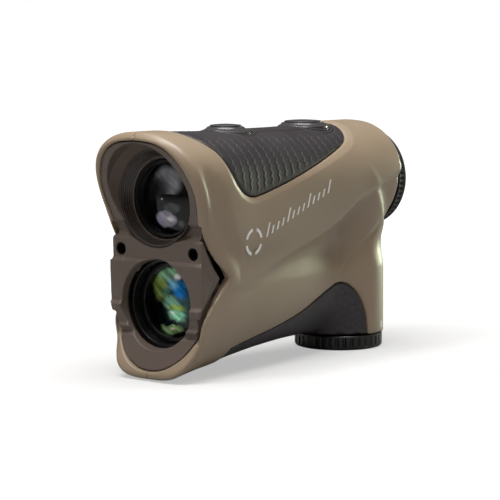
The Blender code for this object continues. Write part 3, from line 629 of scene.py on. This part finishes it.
def finish(piece, material, body_name, slot, *nodes, angle=40):
    piece.data.materials.clear()
    piece.data.materials.append(material)
    piece.data.shade_smooth()
    piece.data.set_sharp_from_angle(angle=math.radians(angle))
    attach(piece, body_name)
    if nodes:
        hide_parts(*nodes)
    return piece


# ---------------------------------------------------------------- materials

GRAIN_HEIGHT = 0.00003                       # metres
STREAK_SLANT = 35.0                          # degrees
STREAK_SIZE = (0.006, 0.006, 0.0012)


def node(tree, kind, values, **settings):
    """A shader node with its settings made, and its sockets set or linked."""
    made = tree.nodes.new("ShaderNode" + kind)
    for key, value in settings.items():
        setattr(made, key, value)
    for socket, value in values.items():
        if isinstance(value, bpy.types.NodeSocket):
            tree.links.new(value, made.inputs[socket])
        else:
            made.inputs[socket].default_value = value
    return made


def noise(tree, place, scale, detail):
    return node(tree, "TexNoise", {"Vector": place, "Scale": scale, "Detail": detail}).outputs


def mapped(tree, value, start, end, low=0.0, high=1.0, **settings):
    """Takes a value from one range to another."""
    ends = {"From Min": start, "From Max": end, "To Min": low, "To Max": high}
    return node(tree, "MapRange", {"Value": value, **ends}, **settings).outputs["Result"]


def mixed(tree, factor, first, second):
    return node(tree, "Mix", {"Factor": factor, "A": first, "B": second}, data_type="RGBA").outputs["Result"]


def vector_math(tree, operation, values):
    return node(tree, "VectorMath", values, operation=operation).outputs


def object_place(tree):
    return node(tree, "TexCoord", {}).outputs["Object"]


def blank_material(name):
    made = bpy.data.materials.new(name)
    made.use_nodes = True
    return made, made.node_tree, made.node_tree.nodes["Principled BSDF"]


def material(name, colour, roughness, metallic=0.0, mottle=0.05, mottle_scale=90.0, grain=0.1,
             grain_scale=2500.0, spread=0.06, **sockets):
    """A Principled material with fine surface grain, slow colour variation and uneven gloss."""
    made, tree, shader = blank_material(name)
    shader.inputs["Metallic"].default_value = metallic
    for socket, value in sockets.items():
        shader.inputs[socket.replace("_", " ")].default_value = value
    place = object_place(tree)
    slow = noise(tree, place, mottle_scale, 4.0)["Fac"]
    dark = (*[c * (1 - mottle) for c in colour], 1)
    light = (*[min(1, c * (1 + mottle)) for c in colour], 1)
    tree.links.new(mixed(tree, slow, dark, light), shader.inputs["Base Color"])
    gloss = mapped(tree, slow, 0.3, 0.7, max(0.02, roughness - spread), roughness + spread)
    tree.links.new(gloss, shader.inputs["Roughness"])
    if grain:
        fine = noise(tree, place, grain_scale, 2.0)["Fac"]
        bump = node(tree, "Bump", {"Strength": grain, "Distance": GRAIN_HEIGHT, "Height": fine})
        tree.links.new(bump.outputs["Normal"], shader.inputs["Normal"])
    return made


def lens_with_painted_reflections(name, base, patches, veins, streaks, roughness=0.05):
    """Coated glass: dark, with soft patches of painted reflection and painted highlight, given as (colour, x,
    z, width, height, softness).
    """
    made, tree, shader = blank_material(name)
    shader.inputs["Roughness"].default_value = roughness
    shader.inputs["Specular IOR Level"].default_value = 0.35
    place = object_place(tree)
    warp = noise(tree, place, 260.0, 3.0)["Color"]
    centred = vector_math(tree, "SUBTRACT", {0: warp, 1: (0.5, 0.5, 0.5)})[0]
    push = vector_math(tree, "SCALE", {0: centred, "Scale": veins * MM})[0]
    moved = vector_math(tree, "ADD", {0: place, 1: push})[0]
    colour = (*base, 1)
    for tint, x, z, width, height, softness in patches:
        spot = {"Vector": moved, "Location": (x * MM, 0, (z + AXIS_HEIGHT) * MM),
                "Scale": (width * MM, 1.0, height * MM)}
        shifted = node(tree, "Mapping", spot, vector_type="TEXTURE").outputs[0]
        flat = vector_math(tree, "MULTIPLY", {0: shifted, 1: (1, 0, 1)})[0]
        reach = vector_math(tree, "LENGTH", {0: flat})["Value"]
        fade = mapped(tree, reach, 1.0, 1.0 - softness, interpolation_type="SMOOTHSTEP")
        colour = mixed(tree, fade, colour, (*tint, 1))
    # Slanted streaks make the painted reflections lighter and darker.
    slant = {"Vector": place, "Rotation": (0, math.radians(STREAK_SLANT), 0), "Scale": STREAK_SIZE}
    slanted = node(tree, "Mapping", slant, vector_type="TEXTURE").outputs[0]
    streak = noise(tree, slanted, 1.0, 2.0)["Fac"]
    shade = mapped(tree, streak, 0.35, 0.65, 1.0 - streaks, 1.0 + streaks)
    shaded = vector_math(tree, "SCALE", {0: colour, "Scale": shade})[0]
    tree.links.new(shaded, shader.inputs["Base Color"])
    return made


def rubber_with_painted_highlights(name, colour, ridge_highlight, **settings):
    """Rubber with a painted highlight along the raised zig-zag lines, in the same places as pad() raises
    them.
    """
    made = material(name, colour, **settings)
    tree = made.node_tree
    shader = tree.nodes["Principled BSDF"]

    def calculate(operation, *values):
        return node(tree, "Math", dict(enumerate(values)), operation=operation).outputs[0]

    def fade(value, low, high):
        return mapped(tree, value, low, high, interpolation_type="SMOOTHSTEP")

    place = object_place(tree)
    parts = node(tree, "SeparateXYZ", {0: place}).outputs
    across = calculate("ABSOLUTE", calculate("DIVIDE", parts["X"], MM))
    along = calculate("SUBTRACT", calculate("DIVIDE", parts["Y"], MM), float(SHIFT[1]))
    height = calculate("SUBTRACT", calculate("DIVIDE", parts["Z"], MM), float(AXIS_HEIGHT))
    around = calculate("ARCTAN2", across, calculate("SUBTRACT", height, SCALE_CENTRE))
    turns = calculate("FRACT", calculate("MULTIPLY", around, SCALE_RADIUS / SCALE_LENGTH))
    swing = calculate("ABSOLUTE", calculate("SUBTRACT", turns, 0.5))
    wave = calculate("SUBTRACT", calculate("MULTIPLY", swing, 4.0), 1.0)
    straight = calculate("SUBTRACT", along, calculate("MULTIPLY", wave, SCALE_WAVE))
    column = calculate("DIVIDE", straight, SCALE_PITCH)
    off = calculate("ABSOLUTE", calculate("SUBTRACT", column, calculate("ROUND", column)))
    # Painted highlight on the ridges: only on the sides away from the top's middle, fading out towards the
    # bottom and broken up by noise.
    highlight_mask = calculate("MULTIPLY", fade(off, 0.07, 0.025), fade(across, 8.5, 11.5))
    highlight_mask = calculate("MULTIPLY", highlight_mask, fade(height, 2.0, 10.0))
    highlight_breakup = noise(tree, place, 420.0, 2.0)["Fac"]
    highlight_mask = calculate("MULTIPLY", highlight_mask, fade(highlight_breakup, 0.3, 0.6))
    plain = shader.inputs["Base Color"].links[0].from_socket
    tree.links.new(mixed(tree, highlight_mask, plain, (*ridge_highlight, 1)), shader.inputs["Base Color"])
    return made


TAN = material("satin_tan_plastic", (0.285, 0.22, 0.152), 0.39, mottle=0.03, grain=0.1, grain_scale=3200)
BEZEL = material("matte_brown_plastic", (0.112, 0.086, 0.071), 0.5, mottle=0.06, grain=0.2, grain_scale=2600)
RUBBER = material("moulded_rubber", (0.03, 0.027, 0.031), 0.52, mottle=0.12, grain=0.3,
                  grain_scale=2200, spread=0.08)
# The pad's rubber, its zig-zag ridges painted paler as a highlight.
PAD_RUBBER = rubber_with_painted_highlights("rubber_with_painted_highlights", (0.026, 0.023, 0.027), (0.085, 0.08, 0.084), roughness=0.5,
                           mottle=0.12, grain=0.3, grain_scale=2200, spread=0.08)
KEYS = material("satin_key_plastic", (0.035, 0.034, 0.037), 0.5, mottle=0.06, grain=0.15, grain_scale=3000)
COLLARS = material("glossy_collar_plastic", (0.05, 0.048, 0.05), 0.27, mottle=0.06, grain=0.15,
                   grain_scale=3000)
BLACK = material("black_plastic", (0.005, 0.005, 0.0055), 0.3, mottle=0.15, grain=0.15, grain_scale=2600)
EYECUP = material("soft_black_rubber", (0.014, 0.014, 0.015), 0.6, mottle=0.15, grain=0.3, grain_scale=2000)
SEAL = material("seal_rubber", (0.012, 0.012, 0.012), 0.45, mottle=0.1, grain=0.1)
ANODISED = material("black_anodised_aluminium", (0.004, 0.004, 0.005), 0.3, metallic=0.2, mottle=0.1,
                    grain=0.1)
STEEL = material("plain_steel", (0.5, 0.5, 0.51), 0.3, metallic=1.0, mottle=0.08, grain=0.1, grain_scale=1500)
# Near black steel, for the bezel screws' heads.
DARK_STEEL = material("near_black_steel", (0.012, 0.01, 0.008), 0.45, metallic=0.5, mottle=0.1, grain=0.1)
BRASS = material("turned_brass", (0.72, 0.52, 0.22), 0.28, metallic=1.0, mottle=0.08, grain=0.08)
BOARD = material("green_circuit_board", (0.015, 0.12, 0.05), 0.4, mottle=0.25, mottle_scale=500,
                 grain=0.2, grain_scale=1200)
CHIP = material("black_component", (0.015, 0.015, 0.016), 0.5, mottle=0.15, grain=0.2, grain_scale=3500)
SLEEVE = material("cell_sleeve", (0.03, 0.1, 0.26), 0.3, mottle=0.15, mottle_scale=120, grain=0.05)
GLASS = material("clear_glass", (0.9, 0.95, 0.95), 0.03, mottle=0.01, grain=0.0, spread=0.01,
                 Transmission_Weight=0.95)
PRINT = material("pale_print", (0.78, 0.78, 0.76), 0.45, mottle=0.03, grain=0.1)
# The objective's dark glass with painted reflections: grey and bluish patches, black bands and white painted
# highlights.
UPPER_GLASS = lens_with_painted_reflections(
    "dark_glass_painted_reflections", (0.002, 0.002, 0.003),
    (((0.3, 0.32, 0.36), -0.2, 3.4, 6.4, 5.6, 0.5), ((0.04, 0.042, 0.05), -3.0, 1.2, 5.6, 5.4, 0.7),
     ((0.008, 0.008, 0.01), -5.4, 0.6, 4.4, 5.4, 0.8), ((0.001, 0.001, 0.002), 1.0, -1.0, 5.4, 1.3, 0.4),
     ((0.6, 0.6, 0.6), -2.2, -1.5, 0.5, 0.4, 0.8), ((0.07, 0.085, 0.085), 1.5, -3.8, 3.8, 1.7, 0.4),
     ((0.001, 0.001, 0.002), -4.4, -3.6, 2.4, 2.0, 0.5), ((0.38, 0.37, 0.5), -0.9, -7.2, 4.4, 2.9, 0.3),
     ((0.1, 0.115, 0.115), 4.4, -8.4, 2.0, 1.6, 0.8), ((1.0, 1.0, 1.0), 0.8, -7.0, 1.9, 1.4, 0.9)),
    veins=1.6, streaks=0.25,
)
# The receiver's glass with painted reflections of its coating in green, olive and blue, black bands and white
# painted highlights.
LOWER_GLASS = lens_with_painted_reflections(
    "coated_glass_painted_reflections", (0.001, 0.0015, 0.002),
    (((0.01, 0.07, 0.06), 1.6, -30.4, 7.4, 9.6, 0.6), ((0.24, 0.36, 0.09), -5.2, -26.6, 4.2, 5.2, 0.6),
     ((0.3, 0.6, 0.38), -3.0, -23.2, 5.4, 2.6, 0.6), ((0.005, 0.2, 0.6), 2.1, -27.6, 4.2, 4.4, 0.7),
     ((0.2, 0.55, 0.85), -0.7, -25.8, 3.2, 2.6, 0.9), ((0.1, 0.3, 0.22), -3.6, -28.2, 2.4, 1.4, 0.8),
     ((0.18, 0.46, 0.32), -0.9, -31.0, 4.6, 2.4, 0.6), ((0.3, 0.5, 0.08), 0.9, -32.5, 4.4, 1.6, 0.8),
     ((0.35, 0.95, 0.6), 1.1, -34.9, 3.7, 2.2, 0.6), ((1.0, 1.0, 1.0), 1.0, -23.8, 1.7, 1.2, 0.7),
     ((0.8, 1.0, 0.9), -0.2, -34.5, 1.3, 0.9, 0.9), ((0.001, 0.0015, 0.002), -8.4, -34.2, 6.0, 4.6, 0.5),
     ((0.28, 0.48, 0.2), -1.2, -38.9, 5.4, 1.9, 0.5), ((0.001, 0.006, 0.015), -1.8, -37.1, 6.6, 0.7, 0.5),
     ((1.0, 1.0, 0.75), -0.8, -38.8, 1.8, 0.8, 0.8)),
    veins=3.2, streaks=0.5,
)


# ---------------------------------------------------------------- pieces

def make_shells():
    for label, field, side in (("left", left_half, 1), ("right", right_half, -1)):
        piece = moulded(f"{label}_shell", field, (0, -8.0, -53.5), (20.8, 104.6, 19.6), 0.42, side)
        finish(piece, TAN, "housing", "tan_shell", f"{label}_housing", angle=50)


def make_bezel():
    piece = moulded("bezel", bezel, (0, -8.0, -50.5), (19.0, 14.2, 16.5), 0.25)
    finish(piece, BEZEL, "housing", "bezel_plastic", "front_bezel", angle=50)
    places, radii = np.array(FUNNEL).T
    teeth, floor = [], []
    for k in range(RIB_COUNT):
        start = RIB_START + RIB_PITCH * k
        wall = float(np.interp(start, places, radii))
        crest = wall - RIB_DEPTH
        teeth += [(wall + 0.3, start), (crest, start + 0.25 * RIB_PITCH), (crest, start + 0.8 * RIB_PITCH)]
        # A black ring just proud of the funnel wall shows between the brown ribs: painted shade in the
        # grooves.
        floor.append((wall - 0.04, start))
    end = RIB_START + RIB_PITCH * RIB_COUNT
    for name, inside, look in (("funnel_ribs", teeth, BEZEL), ("funnel_groove_shade", floor, BLACK)):
        profile = [*inside, (12.1, end), (13.6, end - 0.3), (14.2, RIB_START)]
        piece = turned(name, profile, "Y", (0, 0, 0), 192)
        for vertex in piece.data.vertices:
            vertex.co.z += UPPER_Z * MM * min((vertex.co.y / MM - SHIFT[1]) / FUNNEL[3][0], 1)
        finish(piece, look, "housing", "bezel_plastic")
    for side, label in ((1, "left"), (-1, "right")):
        at = (side * SCREW_X, 0, SCREW_Z)
        # A black lining in each screw well: painted shade in the hole.
        well_shade = [(1.65, 4.5), (1.86, 4.5), (1.86, SCREW_SEAT), (1.65, SCREW_SEAT)]
        piece = turned(f"screw_well_shade_{label}", well_shade, "Y", at, 64)
        finish(piece, BLACK, "housing", "bezel_plastic")
        profile = rounded(((0, 7.4), (1.6, 7.4), (1.6, 8.6), (0.9, 8.6), (0.9, 17.0), (0, 17.0)), 0.2)
        screw = turned(f"bezel_screw_head_{label}", profile, "Y", at, 48)
        socket = turned("socket", ((0, 7.0), (0.8, 7.0), (0.8, 8.1), (0, 8.1)), "Y", at, 6)
        boolean(screw, socket, "DIFFERENCE")
        discard(socket)
        finish(screw, DARK_STEEL, "housing", "steel", f"bezel_screw_{label}")


def make_housing_screws():
    for number, (place, height, seat) in enumerate(HOUSING_SCREWS, 1):
        head = -seat - 1.2
        profile = rounded(((0, head), (1.7, head), (1.7, -seat), (0.9, -seat), (0.9, 6.0), (0, 6.0)), 0.25)
        screw = turned(f"closing_screw_{number}", profile, "X", (0, place, height), 48)
        for turn in (0, 1):
            wide, tall = ((1.15, 0.28), (0.28, 1.15))[turn]
            slot = box_piece("slot", (head - 1, place - wide, height - tall),
                             (head + 0.7, place + wide, height + tall))
            boolean(screw, slot, "DIFFERENCE")
            discard(slot)
        finish(screw, STEEL, "housing", "steel", f"housing_screw_{number}")


def make_panels():
    piece = moulded("top_pad", pad, (0, 7.0, -3.0), (20.6, 83.0, 19.0), 0.3)
    finish(piece, PAD_RUBBER, "housing", "grip_rubber", "top_grip_pad", angle=50)
    piece = moulded("bottom_grip", grip, (0, 17.0, -53.0), (17.6, 88.5, -29.0), 0.3)
    finish(piece, RUBBER, "housing", "grip_rubber", "lower_grip", angle=50)


def button_surround(place, key, radius):
    collar = key + 0.5

    def field(x, y, z):
        form = body(x, y, z) + PAD_RECESS
        out = np.hypot(x, y - place)
        flange = common(common(out - radius, form - 0.25, 0.3), -(form + 1.0), 0.2)
        drop = np.clip((COLLAR_TOP - z) / COLLAR_HEIGHT, 0, 1.4)
        cone = common((out - collar - COLLAR_FLARE * drop**1.7) / 1.4, z - COLLAR_TOP, 0.3)
        cone = common(np.maximum(cone, out - radius + 0.3), -(form + 1.0), 0.2)
        return cut(join(flange, cone, 0.5), out - key - 0.05, 0.12)

    return field


def make_buttons():
    for name, place, key, radius in BUTTONS:
        field = button_surround(place, key, radius)
        low, high = (0, place - radius - 1, 12.0), (radius + 1, place + radius + 1, 19.2)
        piece = moulded(f"{name}_boss", field, low, high, 0.16)
        finish(piece, COLLARS, "housing", "key_plastic", f"{name}_button_surround", angle=50)
        edge = key - 0.25
        dome = [((edge - 0.3) * (1 - k / 8), KEY_TOP - KEY_DOME * (1 - k / 8) ** 2) for k in range(8)]
        side = [(key - 2.0, 13.2), (key - 2.0, 17.2), (edge, 17.2), (edge, KEY_TOP - KEY_DOME - 0.15)]
        profile = rounded([(0, 13.2), *side, *dome, (0, KEY_TOP)], 0.2)
        piece = turned(f"{name}_key", profile, "Z", (0, place, 0), 96)
        finish(piece, KEYS, f"{name}_button", "key_plastic", f"{name}_button")


def lens_profile(radius, front, back, front_rise, back_rise, steps=14):
    points = []
    sides = ((front, -front_rise, range(steps + 1)), (back, back_rise, range(steps, -1, -1)))
    for face, rise, order in sides:
        for i in order:
            r = radius * i / steps
            points.append((r, face + rise * (1 - (r / radius) ** 2)))
    return points


def make_objective():
    at = (0, 0, UPPER_Z)
    profile = rounded(((11.2, 8.2), (12.2, 8.2), (12.2, 17.6), (9.5, 20.5), (9.5, 34.0), (8.4, 34.0),
                       (8.4, 20.0), (9.6, 18.4), (9.6, 17.4), (11.2, 17.4)), 0.2)
    finish(turned("objective_barrel", profile, "Y", at),
           ANODISED, "housing", "black_aluminium", "objective_tube")
    steps = [(10.1 + 0.12 * (k % 2), 10.2 - 0.25 * k) for k in range(1, 8)]
    piece = turned("objective_ring", [(10.9, 8.2), (10.9, 10.2), (10.1, 10.2), *steps, (10.3, 8.2)], "Y", at)
    finish(piece, ANODISED, "housing", "black_aluminium", "objective_retaining_ring")
    finish(turned("objective_glass", lens_profile(10.9, 10.6, 12.4, 1.6, 0.4), "Y", at),
           UPPER_GLASS, "housing", "coated_glass", "objective_lens")


def make_receiver():
    at = (0, 0, LOWER_Z)
    profile = rounded(((11.8, 7.6), (12.9, 7.6), (12.9, 19.0), (6.4, 40.0), (6.4, 44.4), (5.3, 44.4),
                       (5.3, 40.0), (10.6, 19.6), (10.6, 16.6), (11.8, 16.6)), 0.2)
    finish(turned("receiver_barrel", profile, "Y", at), BLACK, "housing", "black_plastic", "receiver_tube")
    # A black ring closing the gap between the receiver barrel and the bezel's bore: painted shade in that
    # gap.
    finish(turned("receiver_gap_shade", ((12.8, 7.9), (13.25, 7.9), (13.25, 8.5), (12.8, 8.5)), "Y", at),
           BLACK, "housing", "black_plastic")
    profile = rounded(((10.2, 10.6), (11.5, 10.6), (11.5, 12.8), (10.2, 12.8)), 0.2)
    finish(turned("receiver_ring", profile, "Y", at),
           ANODISED, "housing", "black_aluminium", "receiver_retaining_ring")
    finish(turned("receiver_glass", lens_profile(11.5, 13.2, 16.2, 1.8, 0.2), "Y", at),
           LOWER_GLASS, "housing", "coated_glass", "receiver_lens")


def make_eyepiece():
    at = (0, 0, 0)

    def knurl(radius, height, angles):
        ridge = smooth_step(0.2, 0.8, np.abs((angles * 60 / (2 * np.pi)) % 1 - 0.5) * 2)
        return radius - (0.35 * ridge if radius > 15.2 and 100.6 < height < 102.3 else 0)

    rim = [(15.6, h) for h in (100.3, 100.5, 100.7, 102.2, 102.3, 102.4)]
    profile = [(13.7, 95.4), (14.7, 95.4), (14.7, 100.2), (15.5, 100.2), *rim, (13.7, 102.4)]
    finish(turned("focus_ring", profile, "Y", at, 480, knurl),
           EYECUP, "diopter", "black_plastic", "diopter_ring")
    profile = rounded(((11.6, 98.4), (13.4, 98.4), (13.4, 102.7), (15.5, 102.7), (15.5, 103.8), (15.0, REAR),
                       (12.6, REAR), (11.6, 103.6)), 0.5)
    finish(turned("eye_cup", profile, "Y", at), EYECUP, "diopter", "eyecup_rubber", "eyecup")
    profile = rounded(((9.4, 84.0), (11.9, 84.0), (11.9, 97.4), (10.9, 97.4), (10.9, 87.6), (9.4, 86.6)), 0.2)
    finish(turned("eye_lens_cell", profile, "Y", at), ANODISED, "ocular", "black_aluminium", "ocular_cell")
    finish(turned("eye_lens", lens_profile(10.6, 93.0, 95.4, 1.0, 0.4), "Y", at),
           GLASS, "ocular", "optical_glass", "ocular_eye_lens")


def make_cap():
    at = (0, TUBE_Y, 0)
    bottom, top, radius = -AXIS_HEIGHT, -47.8, 13.65

    def flutes(reach, height, angles):
        if reach > 13.0 and bottom + 0.9 < height < top - 0.6:
            wave = np.abs((angles * 36 / (2 * np.pi)) % 1 - 0.5) * 2
            return reach - 0.5 * (1 - smooth_step(0.1, 0.5, wave))
        if reach < 10 and -47.4 < height < -42.5:
            turn = np.abs((height / 1.5 - angles / (2 * np.pi)) % 1 - 0.5) * 2
            return reach - 0.45 * smooth_step(0.2, 0.8, turn)
        return reach + 0 * angles

    side = [(radius, bottom + h) for h in (0.8, 1.0, 1.2)]
    side += [(radius, top - h) for h in (0.8, 0.65, 0.5, 0.15)]
    neck = [(9.7, -47.5 + 0.15 * k) for k in range(35)]
    profile = [(0, bottom), (12.6, bottom), (13.2, bottom + 0.2), *side, (radius - 0.15, top), (9.7, top),
               *neck, (8.4, -42.2), (8.4, -48.2), (0, -48.2)]
    piece = turned("cell_cap", profile, "Z", at, 432, flutes)
    slot = box_piece("slot", (-6.5, TUBE_Y - 0.8, bottom - 1), (6.5, TUBE_Y + 0.8, bottom + 1.6))
    boolean(piece, slot, "DIFFERENCE")
    discard(slot)
    finish(piece, BLACK, "battery_cap", "black_plastic", "battery_cap")


def surface_x(y, z):
    """How far out the body's side lies at a place seen from the side."""
    near, far = np.zeros_like(y), np.full_like(y, 25.0)
    for _ in range(30):
        middle = (near + far) / 2
        outside = body(middle, y, z) > 0
        near, far = np.where(outside, near, middle), np.where(outside, middle, far)
    return near


def print_patch(name, corners, across=2, along=8, side=1):
    """A thin print that follows the body's side, from four corners seen from the side."""
    a, b, c, d = np.array(corners, float)
    u = np.linspace(0, 1, along + 1)[:, None, None]
    v = np.linspace(0, 1, across + 1)[None, :, None]
    spots = ((1 - u) * (1 - v) * a + u * (1 - v) * b + u * v * c + (1 - u) * v * d).reshape(-1, 2)
    x = surface_x(spots[:, 0], spots[:, 1])
    layers = [np.stack([side * (x + lift), spots[:, 0], spots[:, 1]], 1) for lift in (-0.08, 0.035)]
    points = np.concatenate(layers)
    count = len(spots)
    faces = []
    for i in range(along):
        for j in range(across):
            loop = [i * (across + 1) + j, (i + 1) * (across + 1) + j]
            loop += [loop[1] + 1, loop[0] + 1]
            faces.append([k + count for k in loop])
            faces.append(loop[::-1])
    row = across + 1
    edge = [i * row for i in range(along + 1)] + [along * row + j for j in range(1, row)]
    edge += [i * row + across for i in range(along - 1, -1, -1)] + list(range(across - 1, 0, -1))
    for first, second in zip(edge, edge[1:] + edge[:1]):
        faces.append([first, second, second + count, first + count])
    return piece_of(name, points, faces)


def merged(name, pieces):
    points, faces, count = [], [], 0
    for piece in pieces:
        points += [(v.co / MM - Vector(SHIFT)) for v in piece.data.vertices]
        faces += [[i + count for i in face.vertices] for face in piece.data.polygons]
        count += len(piece.data.vertices)
    whole = piece_of(name, np.array(points), faces)
    discard(*pieces)
    face_outwards(whole.data)
    return whole


def make_marks():
    """A plain range scale of slanted bars beside a broken ring, printed on each side."""
    for side, label in ((1, "left"), (-1, "right")):
        parts = []
        for k in range(BAR_COUNT):
            tall = LONG_BAR if k % 4 == 0 else SHORT_BAR
            foot = BAR_START + BAR_RUN * k * BAR_PITCH
            top, width = BAR_RISE * tall, BAR_RUN * BAR_WIDTH
            corners = (foot, foot + top, foot + top + width, foot + width)
            parts.append(print_patch("bar", corners, side=side))
        for k in range(RING_STEPS):
            first, second = 2 * np.pi * k / RING_STEPS, 2 * np.pi * (k + 1) / RING_STEPS
            spots = ((RING_IN, first), (RING_OUT, first), (RING_OUT, second), (RING_IN, second))
            corners = [RING_CENTRE + r * np.array((math.cos(t), math.sin(t))) for r, t in spots]
            if k % 6 not in (0, 5):
                parts.append(print_patch("arc", corners, along=2, side=side))
        finish(merged(f"side_scale_{label}", parts), PRINT, "housing", "tan_shell")
    # A small pale mark on the battery tube's side, just above the cap.
    corners = ((93.6, -46.0), (93.6, -44.0), (94.5, -44.0), (94.5, -46.0))
    finish(print_patch("small_pale_mark", corners), PRINT, "housing", "tan_shell")


def dress_cad_nodes():
    """The pieces that lie inside keep their CAD shapes and take these materials."""
    looks = {
        "objective_spacer": ANODISED, "objective_rear_lens": GLASS, "objective_o_ring": SEAL,
        "receiver_board": BOARD, "detector": STEEL, "roof_prism": GLASS, "beam_splitter_prism": GLASS,
        "prism_holder": ANODISED, "laser_collimator": BRASS, "laser_diode": BRASS, "display_panel": GLASS,
        "display_frame": BLACK, "eyepiece_barrel": BLACK, "ocular_field_lens": GLASS, "main_board": BOARD,
        "processor_chip": CHIP, "boost_coil": CHIP, "flex_cable": BRASS, "battery_tube": BLACK,
        "battery": SLEEVE, "positive_contact": BRASS, "thread_insert": ANODISED, "cap_contact": STEEL,
        "cap_o_ring": SEAL, "contact_spring": STEEL, "front_switch": CHIP, "rear_switch": CHIP,
        "button_board": BOARD,
    }
    for node, look in looks.items():
        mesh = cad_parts[node].data
        mesh.materials.clear()
        mesh.materials.append(look)


# ---------------------------------------------------------------- studio

WHITE = (1, 1, 1, 1)
FLOOR_REACH, FLOOR_THICKNESS = 3000, 10
ROOM_TINT, ROOM_STRENGTH = (1, 0.84, 0.72, 1), 0.12
LIGHT_TARGET = (0, 0, 0.04)

# Lights, in metres: name, place, target, size, power, colour
LIGHTS = (
    ("overhead_softbox", (0.05, -0.1, 0.75), LIGHT_TARGET, (0.6, 0.5), 8.8, (1, 1, 1)),
    ("front_softbox", (0.35, -0.8, 0.35), LIGHT_TARGET, (0.3, 0.4), 0.8, (1, 0.88, 0.78)),
    ("brow_light", (-0.1, -0.42, 0.7), LIGHT_TARGET, (0.12, 0.12), 1.4, (1, 1, 1)),
    ("rear_strip", (0.045, 0.6, 0.03), (0.012, 0.04, 0.02), (0.06, 0.2), 2.0, (0.9, 1, 0.72)),
)
CAMERA_PLACE = (392.1, -435.3, 46.8)
CAMERA_DOWN, CAMERA_TURN = 6.04, 39.18       # degrees
CAMERA_LENS = 151.8


def make_floor():
    """A pale floor that brightens into the backdrop away from the object."""
    floor = box_piece("studio_floor", (-FLOOR_REACH, -FLOOR_REACH, -AXIS_HEIGHT - FLOOR_THICKNESS),
                      (FLOOR_REACH, FLOOR_REACH, -AXIS_HEIGHT))
    paint = material("pale_floor", (0.35, 0.35, 0.35), 0.9, mottle=0.01, mottle_scale=3.0, grain=0.0)
    tree = paint.node_tree
    shader = tree.nodes["Principled BSDF"]
    shader.inputs["Emission Color"].default_value = WHITE
    away = vector_math(tree, "LENGTH", {0: object_place(tree)})["Value"]
    glow = mapped(tree, away, 0.08, 0.4, 0.45, 1.0)
    seen = node(tree, "LightPath", {}).outputs["Is Camera Ray"]
    shown = node(tree, "Math", {0: glow, 1: seen}, operation="MULTIPLY").outputs[0]
    tree.links.new(shown, shader.inputs["Emission Strength"])
    floor.data.materials.append(paint)


def make_lights():
    world = bpy.data.worlds.new("studio")
    world.use_nodes = True
    tree = world.node_tree
    backdrop = tree.nodes["Background"]
    seen = node(tree, "LightPath", {}).outputs["Is Camera Ray"]
    tree.links.new(mixed(tree, seen, ROOM_TINT, WHITE), backdrop.inputs["Color"])
    tree.links.new(mapped(tree, seen, 0.0, 1.0, ROOM_STRENGTH, 1.0), backdrop.inputs["Strength"])
    bpy.context.scene.world = world
    bpy.context.scene.view_settings.view_transform = "Standard"
    for name, place, target, size, power, colour in LIGHTS:
        data = bpy.data.lights.new(name, "AREA")
        data.shape = "RECTANGLE"
        data.size, data.size_y = size
        data.energy = power
        data.color = colour
        lamp = placed(name, data)
        lamp.location = place
        aim = Vector(target) - Vector(place)
        lamp.rotation_euler = aim.to_track_quat("-Z", "Y").to_euler()


def make_camera():
    data = bpy.data.cameras.new("camera")
    data.lens = CAMERA_LENS
    data.sensor_width = 36.0
    data.clip_start = 0.01
    camera = placed("camera", data)
    camera.location = (np.array(CAMERA_PLACE) + SHIFT) * MM
    camera.rotation_euler = (math.radians(90 - CAMERA_DOWN), 0, math.radians(CAMERA_TURN))
    bpy.context.scene.camera = camera


make_camera()
make_lights()
make_floor()
make_shells()
make_bezel()
make_housing_screws()
make_panels()
make_buttons()
make_objective()
make_receiver()
make_eyepiece()
make_cap()
make_marks()
dress_cad_nodes()
